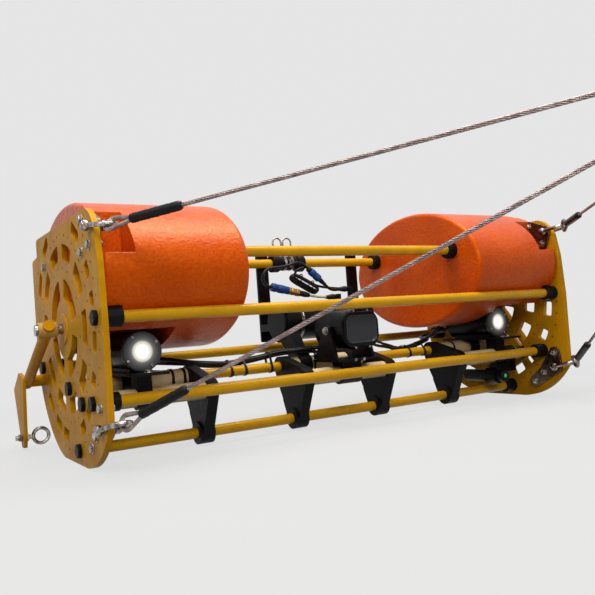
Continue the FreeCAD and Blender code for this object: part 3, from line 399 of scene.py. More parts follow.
def foam():
    """Moulded foam skin: orange-peel relief with small pits, and a fine dark grain."""
    material, tree, shader = node_tree("orange_foam")
    cells = add(tree, "ShaderNodeTexVoronoi", Scale=150.0)
    cells.feature = "SMOOTH_F1"
    tree.links.new(object_place(tree), cells.inputs["Vector"])
    broad = ramp(tree, noise(tree, 6.0, 6.0, 0.6), [(0.3, (0.50, 0.053, 0.0010)),
                                                    (0.55, (0.62, 0.077, 0.0014)),
                                                    (0.8, (0.71, 0.110, 0.0024))])
    grain = ramp(tree, noise(tree, 170.0, 4.0, 0.65), [(0.35, (0.76, 0.70, 0.70)),
                                                       (0.6, (1.0, 1.0, 1.0))])
    mix = tree.nodes.new("ShaderNodeMix")
    mix.data_type = "RGBA"
    mix.blend_type = "MULTIPLY"
    mix.inputs["Factor"].default_value = 0.9
    tree.links.new(broad, mix.inputs["A"])
    tree.links.new(grain, mix.inputs["B"])
    tree.links.new(mix.outputs["Result"], shader.inputs["Base Color"])
    tree.links.new(spread(tree, noise(tree, 60.0), 0.24, 0.42), shader.inputs["Roughness"])
    fill(shader, Specular_IOR_Level=0.55, Specular_Tint=(1.0, 0.40, 0.08, 1))
    relief = maths(tree, "ADD", cells.outputs["Distance"], noise(tree, 190.0, 4.0, 0.65))
    bevel = add(tree, "ShaderNodeBevel", Radius=0.004)
    bevel.samples = BEVEL_SAMPLES
    bump(tree, shader, relief, 0.62, 0.0012, bevel.outputs["Normal"])
    return material


LIGHT_X = 0.1245
LIGHT_Z = -0.060
GLOW_REACH = 0.040


def light_glow(name, strength):
    """Glow that is brightest on either light's axis and fades across its face."""
    material, tree, shader = node_tree(name)
    parts = tree.nodes.new("ShaderNodeSeparateXYZ")
    tree.links.new(object_place(tree), parts.inputs[0])
    across = maths(tree, "ABSOLUTE", maths(tree, "SUBTRACT", parts.outputs["X"], MIDDLE), 0.0)
    across = maths(tree, "SUBTRACT", across, MIDDLE - LIGHT_X)
    rise = maths(tree, "SUBTRACT", parts.outputs["Z"], LIGHT_Z)
    both = tree.nodes.new("ShaderNodeCombineXYZ")
    tree.links.new(across, both.inputs[0])
    tree.links.new(rise, both.inputs[2])
    length = tree.nodes.new("ShaderNodeVectorMath")
    length.operation = "LENGTH"
    tree.links.new(both.outputs[0], length.inputs[0])
    reach = spread(tree, length.outputs["Value"], 0.0, 1.0, 0.0, GLOW_REACH)
    glow = ramp(tree, reach, [(0.0, (1, 1, 1)), (0.28, (1, 1, 0.985)), (0.44, (0.66, 0.64, 0.55)),
                              (0.54, (0.46, 0.43, 0.34)), (0.585, (0.15, 0.15, 0.145)),
                              (0.72, (0.058, 0.058, 0.060)), (0.88, (0.018, 0.018, 0.019)),
                              (1.0, (0.003, 0.003, 0.003))])
    tree.links.new(glow, shader.inputs["Emission Color"])
    fill(shader, Emission_Strength=strength, Base_Color=(0.010, 0.010, 0.011, 1))
    tree.links.new(spread(tree, noise(tree, 90.0), 0.30, 0.45), shader.inputs["Roughness"])
    return material


def dark_glass():
    """Nearly black pane with a faint gloss."""
    material, _, shader = node_tree("window_glass")
    fill(shader, Base_Color=(0.022, 0.022, 0.027, 1), Roughness=0.08, Alpha=0.93, IOR=1.5,
         Specular_IOR_Level=0.25, Coat_Weight=0.12)
    return material


orange_foam = foam()
window_glass = dark_glass()
bezel_glow = light_glow("bezel_glow", 1.0)
face_glow = light_glow("face_glow", 1.15)

looks = {
    "left_end_plate": yellow_plate, "right_end_plate": yellow_plate,
    "left_trim_arm": yellow_plate, "right_trim_arm": yellow_plate,
    "left_float": orange_foam, "right_float": orange_foam,
    "payload_sleeves": cream_sleeve, "left_arm_bush": yellow_bush, "right_arm_bush": yellow_bush,
    "frame_bolts": stainless, "tow_lug_plates": lug_steel, "hub_pins": stainless,
    "arm_eye_bolt": stainless, "lift_bails": stainless,
    "light_bezels": bezel_glow, "lead_pale": pale_jacket,
}
for name, node in nodes.items():
    if name in looks:
        look = looks[name]
    elif name.startswith("rod_") and name not in ("rod_collars", "rod_end_caps"):
        look = yellow_tube
    elif name.startswith("tow_shackle"):
        look = stainless
    elif name.startswith(("tow_end", "tow_wire")):
        look = shrink
    elif name.startswith("lead_"):
        look = jacket
    elif name.startswith(("camera", "light", "electronics", "laser", "rear", "payload_clips")):
        look = black_metal
    else:
        look = black_plastic
    node.data.materials.clear()
    node.data.materials.append(look)


# Towing wires: route points from the near sleeve to the far one

wire_routes = {
    1: [(0.109, -0.4434, 0.1968), (0.248, -0.641, 0.2195),
        (0.387, -0.839, 0.2428), (0.528, -1.038, 0.266)],
    2: [(0.101, -0.4311, -0.1253), (0.242, -0.630, -0.020),
        (0.383, -0.829, 0.085), (0.524, -1.028, 0.190)],
    3: [(1.226, -0.429, 0.207), (1.184, -0.485, 0.212),
        (1.142, -0.542, 0.217), (1.100, -0.598, 0.222)],
    4: [(1.228, -0.422, -0.131), (1.198, -0.461, -0.111),
        (1.168, -0.501, -0.090), (1.138, -0.540, -0.069)],
}
# Pin of each leg's shackle, and length and turn in degrees of the near rope eye
LEG_PINS = {1: (0.009, -0.248, 0.190), 2: (0.009, -0.252, -0.200),
            3: (1.321, -0.248, 0.190), 4: (1.321, -0.252, -0.200)}
NEAR_EYES = {1: (0.040, -35), 2: (0.032, 0), 3: (0.026, 0), 4: (0.026, 0)}


def smooth_line(points, resolution):
    """Smooth line along a route's points, as a NURBS spline gives it."""
    curve = bpy.data.curves.new("route", "CURVE")
    curve.dimensions = "3D"
    spline = curve.splines.new("NURBS")
    spline.points.add(len(points) - 1)
    for point, place in zip(spline.points, points):
        point.co = (*place, 1)
    spline.order_u = 3
    spline.use_endpoint_u = True
    spline.resolution_u = resolution
    holder = bpy.data.objects.new("route", curve)
    line = [v.co.copy() for v in bpy.data.meshes.new_from_object(holder).vertices]
    bpy.data.objects.remove(holder)
    return line


WIRE_DIAMETER = 0.008
WIRE_RESOLUTION = 12
CORE_RADIUS = 0.0024
STRANDS = 6
STRAND_RADIUS = 0.00126
STRAND_OFFSET = 0.00268
STRAND_STEP = 0.0045
LAY_LENGTH = 0.052


def towing_leg(number):
    """Stranded wire round its core, with its end fittings and shackle."""
    points = smooth_line(wire_routes[number], WIRE_RESOLUTION)
    start, end = points[0], points[-1]
    run = end - start
    along = run.normalized()
    side, other = basis(along)
    body = "tow_leg_%d" % number
    core = bmesh.new()
    tube(core, [start, end], CORE_RADIUS, 8)
    core_piece = finish_mesh(core, "wire_core_%d" % number, body, wire_core, 60.0)
    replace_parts(core_piece, "tow_wire_%d" % number)
    work = bmesh.new()
    steps = int(run.length / STRAND_STEP)
    for strand in range(STRANDS):
        path = []
        for k in range(steps + 1):
            distance = run.length * k / steps
            angle = 2 * math.pi * (strand / STRANDS + distance / LAY_LENGTH)
            path.append(start + along * distance + turned(side, other, angle) * STRAND_OFFSET)
        tube(work, path, STRAND_RADIUS, 7)
    rope = finish_mesh(work, "towing_wire_%d" % number, body, wire_steel, 60.0)
    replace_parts(rope, "tow_wire_%d" % number)
    sleeves, near_eye = wire_fittings(number, start, end, along)
    shackle(number, near_eye - along * EYE_HANG)


THIMBLE_RADIUS = 0.014
FAR_EYE = 0.026
EYE_HANG = 0.0037
NEAR_SLEEVE = 0.112
FAR_SLEEVE = 0.060
THROAT_SHARE = 0.30
EYE_ROPE = 0.0042
EYE_ROPE_OUT = 0.0006
EYE_LINING = 0.0019
EYE_LINING_IN = 0.0030


def eye_path(centre, away, side, radius, reach):
    """Teardrop round centre, with its throat a reach away where the sleeve begins."""
    opening = math.acos(THIMBLE_RADIUS / (reach + WIRE_DIAMETER))
    throat = centre + away * reach * 1.02
    path = [throat + side * (radius * THROAT_SHARE)]
    for k in range(33):
        angle = opening + (2 * math.pi - 2 * opening) * k / 32
        path.append(centre + turned(away, side, angle) * radius)
    path.append(throat - side * (radius * THROAT_SHARE))
    return path


BUMP_PITCH = 0.012


def sleeve_profile(length):
    """Sleeve with a tapered mouth at both ends and shallow bumps where it was shrunk on."""
    profile = [(0.0, 0.0), (0.0062, 0.0), (0.0080, 0.002)]
    bumps = int(length / BUMP_PITCH)
    for k in range(bumps):
        place = 0.004 + (length - BUMP_PITCH) * k / bumps
        profile += [(0.0091 + 0.0003 * (k % 2), place),
                    (0.0087 + 0.0004 * ((k + 1) % 2), place + 0.005)]
    return profile + [(0.0090, length - 0.006), (0.0074, length - 0.002), (0.0050, length),
                      (0.0, length)]


def wire_fittings(number, start, end, along):
    """Rope eyes with their thimbles, and the sleeves that close them; gives the near eye's centre."""
    body = "tow_leg_%d" % number
    across = (X_AXIS - along * X_AXIS.dot(along)).normalized()
    loops, linings, sleeves = bmesh.new(), bmesh.new(), bmesh.new()
    for sleeve_end, away, length, (reach, turn) in ((end, -along, FAR_SLEEVE, (FAR_EYE, 0)),
                                                    (start, along, NEAR_SLEEVE, NEAR_EYES[number])):
        centre = sleeve_end - away * (length + reach)
        hole_axis = Matrix.Rotation(math.radians(turn), 3, along) @ across
        side = away.cross(hole_axis)
        rope_path = eye_path(centre, away, side, THIMBLE_RADIUS + EYE_ROPE_OUT, reach)
        lining_path = eye_path(centre, away, side, THIMBLE_RADIUS - EYE_LINING_IN, reach)
        tube(loops, rope_path, EYE_ROPE, 10)
        tube(linings, lining_path, EYE_LINING, 8)
        lathe(sleeves, sleeve_profile(length), centre + away * reach, away, 24)
    pieces = [finish_mesh(loops, "rope_eyes_%d" % number, body, wire_steel, 60.0),
              finish_mesh(linings, "thimbles_%d" % number, body, stainless, 60.0),
              finish_mesh(sleeves, "wire_sleeves_%d" % number, body, shrink, 50.0)]
    for piece in pieces:
        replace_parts(piece, "tow_end_%d" % number)
    # The loop's last eye is the near one
    return pieces[2], centre


BOW_HALF = 0.018
BOW_BAR = 0.005
BOW_BULGE = 0.0015
BOW_ROOT = 0.004
EAR_HALF = 0.0052
SHACKLE_PIN = 0.0059
SHACKLE_HEAD = (0.0092, 0.0036)
SHACKLE_NUT = (0.0088, 0.0026)


def shackle(number, crown):
    """Bow from the pin's two ears round its crown, and the pin with its head and nut."""
    pin = Vector(LEG_PINS[number])
    pull = (crown - pin).normalized()
    across = (X_AXIS - pull * X_AXIS.dot(pull)).normalized()
    shoulder = crown - pull * BOW_HALF
    work = bmesh.new()
    waist = pin.lerp(shoulder, 0.5)
    to_waist = (X_AXIS + across).normalized() * (BOW_HALF + BOW_BULGE)
    root = pin + pull * BOW_ROOT
    path = [root - X_AXIS * BOW_HALF, waist - to_waist]
    for k in range(25):
        path.append(shoulder + turned(-across, pull, math.pi * k / 24) * BOW_HALF)
    path += [waist + to_waist, root + X_AXIS * BOW_HALF]
    tube(work, path, lambda t: BOW_BAR * (1 + 0.10 * math.sin(math.pi * t)), 16)
    for flip in (-1, 1):
        lathe(work, [(0.0, -EAR_HALF), (0.0096, -EAR_HALF), (0.0110, -0.0038), (0.0110, 0.0038),
                     (0.0096, EAR_HALF), (0.0, EAR_HALF)], pin + X_AXIS * flip * BOW_HALF, X_AXIS, 28)
    outer = X_AXIS if number < 3 else -X_AXIS
    head_place = pin + outer * (BOW_HALF + EAR_HALF)
    nut_place = pin - outer * (BOW_HALF + EAR_HALF)
    hexagon(work, head_place, outer, *SHACKLE_HEAD, 0.4)
    hexagon(work, nut_place, -outer, *SHACKLE_NUT, 0.1)
    tube(work, [nut_place, head_place], SHACKLE_PIN, 16)
    piece = finish_mesh(work, "shackle_%d" % number, "tow_leg_%d" % number, stainless, 45.0)
    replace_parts(piece, "tow_shackle_%d" % number)


for leg in wire_routes:
    towing_leg(leg)

# Lights

LIGHT_FRONT = -0.145
LIGHT_PLATE_TOP = -0.104
LIGHT_BOLT_Y = -0.172
LIGHT_SCREW_CIRCLE = 0.037
LIGHT_SCREWS = (32, 122, 212, 302)
LIGHT_WASHER = (0.0085, 0.0014)
LIGHT_HEAD = (0.0064, 0.0045)
LENS_PROFILE = [(0.0239, 0.0008), (0.0225, 0.0), (0.0205, 0.0012), (0.0, 0.0012)]
LENS_BACK = 0.0004
SCREW_PROFILE = [(0.0034, 0.0), (0.0034, 0.0012), (0.0024, 0.0016), (0.0016, 0.0010), (0.0, 0.0010)]
faces, screws = bmesh.new(), bmesh.new()
for x in (LIGHT_X, FRAME_LENGTH - LIGHT_X):
    centre = Vector((x, LIGHT_FRONT, LIGHT_Z))
    lathe(faces, LENS_PROFILE, centre + Y_AXIS * LENS_BACK, Y_AXIS, 48)
    for degrees in LIGHT_SCREWS:
        place = centre + turned(X_AXIS, Z_AXIS, math.radians(degrees)) * LIGHT_SCREW_CIRCLE
        lathe(screws, SCREW_PROFILE, place, -Y_AXIS, 20)
    bolt(screws, Vector((x, LIGHT_BOLT_Y, LIGHT_PLATE_TOP)), Z_AXIS, LIGHT_WASHER, LIGHT_HEAD, 0.3)
face = finish_mesh(faces, "light_faces", "frame", face_glow)
finish_mesh(screws, "light_screws", "frame", stainless)

# Plate fasteners: rod end screws, lug bolts with washers, and locknuts inside

ROD_ENDS = ((-0.180, 0.147), (0.151, 0.152))
LUG_BOLTS = ((-0.192, 0.211), (-0.235, 0.156), (-0.247, -0.160), (-0.207, -0.216), (-0.174, -0.242))
PLATE_THICKNESS = 0.012
LUG_THICKNESS = 0.006
OUTER_WASHER = (0.0118, 0.0016)
OUTER_HEAD = (0.0092, 0.0052)
LUG_WASHER = (0.0105, 0.0014)
LUG_NUT = (0.0084, 0.0042)
LOCK_RING = [(0.0066, 0.0), (0.0066, 0.0018), (0.0048, 0.0026), (0.0046, 0.0012), (0.0, 0.0012)]
work = bmesh.new()
for flip in (1, -1):
    out = Vector((-flip, 0, 0))
    face_x = 0.0 if flip == 1 else FRAME_LENGTH
    for number, (y, z) in enumerate(ROD_ENDS + LUG_BOLTS):
        place = Vector((face_x, y, z))
        bolt(work, place, out, OUTER_WASHER, OUTER_HEAD, 0.4 * number)
        if (y, z) in LUG_BOLTS:
            inner = place - out * (PLATE_THICKNESS + LUG_THICKNESS)
            bolt(work, inner, -out, LUG_WASHER, LUG_NUT, 0.7 * number)
            lathe(work, LOCK_RING, inner - out * (LUG_WASHER[1] + LUG_NUT[1]), -out, 20)
fasteners = finish_mesh(work, "plate_fasteners", "frame", stainless)
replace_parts(fasteners, "frame_bolts")

# Floats: the shallow back of the pocket round each upper shackle

POCKET_STEPS = 14
FLOAT_CENTRE = (-0.013, 0.105)
FLOAT_HALF = (0.267, 0.166)
POCKET_X = (0.0130, 0.0785)
POCKET_BACK = -0.194
POCKET_CAD_BACK = -0.150
POCKET_FLOOR = 0.135


def oval_height(y):
    """Height of a float's top over y."""
    share = (y - FLOAT_CENTRE[0]) / FLOAT_HALF[0]
    return FLOAT_CENTRE[1] + FLOAT_HALF[1] * math.sqrt(1 - share * share)


def pocket_back(name, x0, x1):
    """Foam from the photograph's pocket back to the solid's."""
    outline = [(POCKET_CAD_BACK, POCKET_FLOOR), (POCKET_BACK, POCKET_FLOOR)]
    for k in range(POCKET_STEPS + 1):
        y = POCKET_BACK + (POCKET_CAD_BACK - POCKET_BACK) * k / POCKET_STEPS
        outline.append((y, oval_height(y)))
    work = bmesh.new()
    near, far = [[work.verts.new((x, y, z)) for y, z in outline] for x in (x0, x1)]
    strip(work, near, far)
    work.faces.new(near)
    work.faces.new(list(reversed(far)))
    finish_mesh(work, name, "frame", orange_foam)


pocket_back("left_float_pocket", *POCKET_X)
pocket_back("right_float_pocket", FRAME_LENGTH - POCKET_X[1], FRAME_LENGTH - POCKET_X[0])

# Camera: bezel, window, their screws and the pivots' heads

CAMERA_Z = -0.048
CAMERA_FRONT = -0.200
CAMERA_PIVOT_Y = -0.130
CAMERA_CHEEK = 0.060
CAMERA_SCREW_CIRCLE = 0.0497
CAMERA_SCREWS = (65, 115, 245, 295)
CAMERA_SCREW_HEAD = (0.0028, 0.0010)
CAMERA_SCREW_SEAT = 0.0012
PIVOT_WASHER = (0.0105, 0.0016)
PIVOT_HEAD = (0.0082, 0.0050)
CRADLE_SCREWS = ((MIDDLE - 0.010, -0.1235), (MIDDLE + 0.016, -0.1235))
CRADLE_FRONT = -0.178
CRADLE_SCREW_HEAD = (0.0042, 0.0030)
BEZEL_RADIUS = 0.057
PANE_HALF = (0.046, 0.034)
PANE_CORNER = 0.0165
PANE_INSET = 0.0040
FILLED_INSET = 0.0200
FILLED_REACH = 0.030
CORNER_STEPS = 8
camera_face = Vector((MIDDLE, CAMERA_FRONT, CAMERA_Z))


def window_loop(grow, depth, corner=None):
    """The window's rounded outline, grown outwards, at a depth behind the camera's front."""
    half_width, half_height = PANE_HALF[0] + grow, PANE_HALF[1] + grow
    corner = corner or PANE_CORNER + grow
    points = []
    for quarter, (sx, sz) in enumerate(((1, 1), (-1, 1), (-1, -1), (1, -1))):
        middle = camera_face + Vector((sx * (half_width - corner), depth, sz * (half_height - corner)))
        for k in range(CORNER_STEPS + 1):
            angle = math.pi / 2 * (quarter + k / CORNER_STEPS)
            points.append(middle + turned(X_AXIS, Z_AXIS, angle) * corner)
    return points


def disc_loop(radius, depth):
    """Circle with one point towards each point of the window's outline."""
    points = []
    for point in window_loop(0.0, 0.0):
        points.append(camera_face + (point - camera_face).normalized() * radius + Y_AXIS * depth)
    return points


work = bmesh.new()
bezel = [disc_loop(radius, depth) for radius, depth in (
    (0.0505, 0.0125), (0.0560, 0.0125), (BEZEL_RADIUS, 0.0112), (BEZEL_RADIUS, 0.0032),
    (0.0560, 0.0011), (0.0542, 0.0003))]
ring_strips(work, bezel + [window_loop(0.0012, 0.0003), window_loop(0.0, 0.0)])
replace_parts(finish_mesh(work, "camera_bezel_ring", "camera", black_metal), "camera_bezel")
work = bmesh.new()
ring_strips(work, [window_loop(grow, depth) for grow, depth in (
    (0.0, 0.0), (-0.0010, 0.0002), (-0.0022, 0.0014), (-0.0036, 0.0034), (-0.0044, 0.0040))])
rim_look = surface("window_rim", [(0.3, (0.012, 0.012, 0.014)), (0.8, (0.030, 0.030, 0.036))],
                   (0.2, 0.35), scale=60.0, edge=0.0, specular=0.35)
finish_mesh(work, "camera_window_rim", "camera", rim_look)
work = bmesh.new()
ring_strips(work, [window_loop(-PANE_INSET, 0.0038), window_loop(-FILLED_INSET, 0.0036, 0.004)])
inner_edges = [edge for edge in work.edges if edge.is_boundary
               and max(abs(vert.co.x - MIDDLE) for vert in edge.verts) < FILLED_REACH]
bmesh.ops.contextual_create(work, geom=inner_edges)
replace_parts(finish_mesh(work, "camera_pane", "camera", window_glass), "camera_window")
work = bmesh.new()
for degrees in CAMERA_SCREWS:
    place = camera_face + turned(X_AXIS, Z_AXIS, math.radians(degrees)) * CAMERA_SCREW_CIRCLE
    socket_head(work, place + Y_AXIS * CAMERA_SCREW_SEAT, -Y_AXIS, *CAMERA_SCREW_HEAD)
for out in (-X_AXIS, X_AXIS):
    place = Vector((MIDDLE, CAMERA_PIVOT_Y, CAMERA_Z)) + out * CAMERA_CHEEK
    bolt(work, place, out, PIVOT_WASHER, PIVOT_HEAD, 0.2)
finish_mesh(work, "camera_screws", "camera", stainless)
work = bmesh.new()
for x, z in CRADLE_SCREWS:
    socket_head(work, Vector((x, CRADLE_FRONT, z)), -Y_AXIS, *CRADLE_SCREW_HEAD)
finish_mesh(work, "cradle_screws", "frame", stainless)

# Connectors on the housing's leads: where each begins, and the way it points

def connector(name, place, heading, rows, look):
    """One turned piece of a connector, its profile measured from where the connector begins."""
    work = bmesh.new()
    lathe(work, rows, place, heading, 28)
    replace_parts(finish_mesh(work, name, "frame", look), "lead_connectors")


low_place, low_heading = (MIDDLE - 0.077, 0.096, 0.082), (0.976, 0.0, -0.219)
connector("low_connector_shell", low_place, low_heading,
          [(0.0, 0.0), (0.0100, 0.0), (0.0119, 0.002), (0.0119, 0.014), (0.0106, 0.016),
           (0.0106, 0.020), (0.0119, 0.022), (0.0119, 0.038), (0.0110, 0.040), (0.0110, 0.0538),
           (0.0, 0.0538)], blue_shell)
connector("low_connector_ring", low_place, low_heading,
          [(0.0, 0.054), (0.0104, 0.054), (0.0104, 0.060), (0.0096, 0.061), (0.0096, 0.064),
           (0.0104, 0.065), (0.0104, 0.070), (0.0096, 0.071), (0.0096, 0.079), (0.0104, 0.080),
           (0.0104, 0.0878), (0.0, 0.0878)], gold_shell)
connector("low_connector_boot", low_place, low_heading,
          [(0.0, 0.088), (0.0089, 0.088), (0.0089, 0.094), (0.0082, 0.096), (0.0084, 0.110),
           (0.0060, 0.1245), (0.0, 0.126)], brown_shell)
high_place, high_heading = (MIDDLE + 0.039, 0.084, 0.130), (0.756, 0.0, -0.655)
connector("high_connector_shell", high_place, high_heading,
          [(0.0, 0.010), (0.0095, 0.010), (0.0109, 0.012), (0.0109, 0.024), (0.0098, 0.026),
           (0.0098, 0.030), (0.0109, 0.032), (0.0109, 0.046), (0.0092, 0.0479), (0.0, 0.0479)],
          blue_shell)
connector("high_connector_ends", high_place, high_heading,
          [(0.0, 0.0), (0.0068, 0.0), (0.0084, 0.002), (0.0084, 0.0099), (0.0, 0.0099)], jacket)
connector("high_connector_boot", high_place, high_heading,
          [(0.0, 0.048), (0.0069, 0.048), (0.0069, 0.056), (0.0058, 0.062), (0.0052, 0.072),
           (0.0, 0.072)], jacket)

# More leads beside the lights' own leads, from the lights to the housing

LEAD_RESOLUTION = 8
LIGHT_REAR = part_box("light_housings")[1][1]
LEFT_RUN = [(0.250, 0.012, -0.099), (0.284, -0.007, -0.103), (0.330, -0.013, -0.113),
            (0.385, -0.012, -0.1155), (0.436, -0.012, -0.1125), (0.481, -0.014, -0.1065),
            (0.521, -0.024, -0.0995), (0.568, -0.035, -0.0975), (0.605, -0.036, -0.098),
            (0.648, -0.026, -0.098)]
RIGHT_RUN = [(1.078, 0.020, -0.099), (1.045, -0.001, -0.103), (1.005, -0.006, -0.113),
             (0.962, -0.004, -0.120), (0.922, -0.009, -0.119), (0.882, -0.026, -0.108)]
# Each lead: how far back and up it runs from the light's lead, its start (x, z), radius and wave
LEFT_LEADS = ((0.0072, 0.0048, 0.134, -0.052, 0.0038, 0.0),
              (-0.0062, 0.0062, 0.112, -0.066, 0.0036, 0.0012),
              (0.0010, 0.0098, 0.122, -0.048, 0.0026, 0.0020))
RIGHT_LEADS = ((0.0070, 0.0050, 1.198, -0.052, 0.0038, 0.0),
               (-0.0058, 0.0064, 1.216, -0.066, 0.0030, 0.0))


def beside(points, dy, dz, wave):
    """The points moved over, and a little up and down in turn where the lead is wavy."""
    return [(x, y + dy, z + dz + wave * (-1) ** k) for k, (x, y, z) in enumerate(points)]


def out_of_light(x, z, way):
    """First points of a lead: straight back out of a light, then over towards the frame's middle."""
    return [(x, LIGHT_REAR - 0.001, z), (x, LIGHT_REAR + 0.022, z),
            (x + way * 0.022, LIGHT_REAR + 0.030, z - 0.012)]


work = bmesh.new()
for dy, dz, start_x, start_z, radius, wave in LEFT_LEADS:
    route = out_of_light(start_x, start_z, 1) + [(0.205, 0.040 + dy, -0.088 + dz)]
    route += beside(LEFT_RUN, dy, dz, wave)
    route += [(0.686 + dy, -0.006, -0.086 + dz / 2), (0.702 + dy, 0.012, -0.072),
              (0.706 + dy, 0.026, -0.055)]
    tube(work, smooth_line(route, LEAD_RESOLUTION), radius, 10)
for dy, dz, start_x, start_z, radius, wave in RIGHT_LEADS:
    route = out_of_light(start_x, start_z, -1) + [(1.125, 0.042 + dy, -0.088 + dz)]
    route += beside(RIGHT_RUN, dy, dz, wave)
    route += [(0.850 + dy, -0.012, -0.088), (0.838 + dy, 0.010, -0.073), (0.834 + dy, 0.026, -0.055)]
    tube(work, smooth_line(route, LEAD_RESOLUTION), radius, 10)
finish_mesh(work, "lead_pairs", "frame", jacket, 60.0)

# Bundled lead between the connectors, tied in a hank under the lifting clamp

HANK_HIGH = Vector((0.668, 0.108, 0.113))
HANK_LOW = Vector((0.752, 0.108, 0.068))
HANK_FOLDS = 4
HANK_LEAD = 0.0036
HANK_TIES = (-0.0225, 0.020)
HANK_TIE = 0.0016
HANK_TIE_HALF = (0.0175, 0.0135)
HANK_TIE_BACK = 0.004
HANK_TIE_STEPS = 28
# One fold of the hank, as shares of its reach and of its width
FOLD = ((-1.0, 0.2), (-0.9, 1.0), (0.0, 1.05), (0.9, 1.0), (1.0, 0.0), (0.9, -1.0), (0.05, -1.05),
        (-0.9, -1.0))
hank_way = (HANK_LOW - HANK_HIGH).normalized()
hank_side = Vector((-hank_way.z, 0, hank_way.x))
hank_middle = (HANK_HIGH + HANK_LOW) / 2
route = [Vector((0.700, 0.088, 0.134)), Vector((0.676, 0.100, 0.131))]
for fold in range(HANK_FOLDS):
    reach = 0.045 + 0.005 * (fold % 2)
    wide = 0.0060 + 0.0022 * fold
    depth = Y_AXIS * (0.0075 * (fold % 2) - 0.004 + 0.002 * fold)
    for k, (along, across) in enumerate(FOLD):
        route.append(hank_middle + hank_way * along * reach - hank_side * across * wide
                     + depth + Y_AXIS * 0.0008 * k)
route += [Vector((0.742, 0.112, 0.082)), Vector((0.790, 0.108, 0.074)), Vector((0.826, 0.098, 0.070)),
          Vector((0.842, 0.092, 0.068))]
work = bmesh.new()
tube(work, smooth_line(route, LEAD_RESOLUTION), HANK_LEAD, 10)
for along in HANK_TIES:
    centre = hank_middle + hank_way * along + Y_AXIS * HANK_TIE_BACK
    side, other = hank_side * HANK_TIE_HALF[0], Y_AXIS * HANK_TIE_HALF[1]
    loop = [centre + turned(side, other, 2 * math.pi * k / HANK_TIE_STEPS) for k in range(HANK_TIE_STEPS)]
    tube(work, loop, HANK_TIE, 6, closed=True)
finish_mesh(work, "lead_hank", "frame", jacket, 60.0)

# Tapered boots where the leads meet the housing's right-angled entries: place, heading, length

LEAD_BOOTS = (((0.833, 0.088, 0.068), (-1.0, 0.0, 0.0), 0.030),
              ((0.783, 0.080, 0.046), (-1.0, 0.03, 0.0), 0.026))
work = bmesh.new()
for place, heading, length in LEAD_BOOTS:
    lathe(work, [(0.0, 0.0), (0.0086, 0.0), (0.0086, 0.006), (0.0074, 0.008), (0.0078, 0.012),
                 (0.0066, 0.014), (0.0068, 0.018), (0.0056, 0.020), (0.0050, length), (0.0, length)],
          place, heading, 24)
finish_mesh(work, "lead_boots", "frame", shrink)

# Tie bands round the sleeves, the middle back tube and the leads on it

MID_BACK = (-0.025, -0.130)
TUBE_ROUND = (*MID_BACK, 0.0126)
SLEEVE_ROUND = (*MID_BACK, 0.0201)
TIED = ((-0.0062, 0.0062), (0.0072, 0.0048), (0.0010, 0.0086))
# Width and thickness of a band, and the angle of a tie's head in degrees
TIE_BAND = (0.0062, 0.0014)
HOUSING_BAND = (0.0085, 0.0012)
LIFT_BAND = (0.0070, 0.0011)
TIE_HEAD = 205
BAND_GAP = 0.0002
BAND_STEPS = 40


def outermost(circles, out):
    """Centre and radius of the circle that reaches furthest in the direction out."""
    y, z, radius = max(circles, key=lambda c: c[0] * out.y + c[1] * out.z + c[2])
    return Vector((0, y, z)), radius


def band(work, x, circles, width, thickness, head=None):
    """Strip pulled round circles (y, z, radius), with a square head at an angle if one is given."""
    loops = []
    for offset, side in ((BAND_GAP, -1), (thickness, -1), (thickness, 1), (BAND_GAP, 1), (BAND_GAP, -1)):
        loop = []
        for k in range(BAND_STEPS):
            out = turned(Y_AXIS, Z_AXIS, 2 * math.pi * k / BAND_STEPS)
            centre, radius = outermost(circles, out)
            loop.append(centre + out * (radius + offset) + X_AXIS * (x + side * width / 2))
        loops.append(loop)
    ring_strips(work, loops)
    bmesh.ops.remove_doubles(work, verts=work.verts, dist=0.00001)
    if head is not None:
        out = turned(Y_AXIS, Z_AXIS, math.radians(head))
        centre, radius = outermost(circles, out)
        place = centre + out * (radius + thickness) + X_AXIS * x
        lathe(work, [(0.0, -0.001), (0.0046, -0.001), (0.0048, 0.0026), (0.0036, 0.0034), (0.0, 0.0034)],
              place, out, 4, math.pi / 4)


def with_tied(y, z, radius, count=3):
    """Circles of a light's lead and of the leads tied beside it."""
    return [(y, z, radius)] + [(y + dy, z + dz, radius) for dy, dz in TIED[:count]]


work = bmesh.new()
for x, circles in ((0.229, [SLEEVE_ROUND]), (0.258, [SLEEVE_ROUND]),
                   (0.385, [TUBE_ROUND] + with_tied(-0.012, -0.1152, 0.0042)),
                   (0.424, [TUBE_ROUND] + with_tied(-0.012, -0.1135, 0.0042)),
                   (0.497, [TUBE_ROUND] + with_tied(-0.0165, -0.1045, 0.0044)),
                   (0.622, [SLEEVE_ROUND] + with_tied(-0.035, -0.0992, 0.0044)),
                   (0.955, [TUBE_ROUND] + with_tied(-0.0046, -0.1190, 0.0044, 2)),
                   (1.010, [TUBE_ROUND] + with_tied(-0.0055, -0.1125, 0.0044, 2)),
                   (1.120, [SLEEVE_ROUND])):
    band(work, x, circles, *TIE_BAND, TIE_HEAD)
finish_mesh(work, "tie_bands", "frame", shrink)

# Steel band clamps with worm screws round the housing, two bands and a screw on the lifting clamp

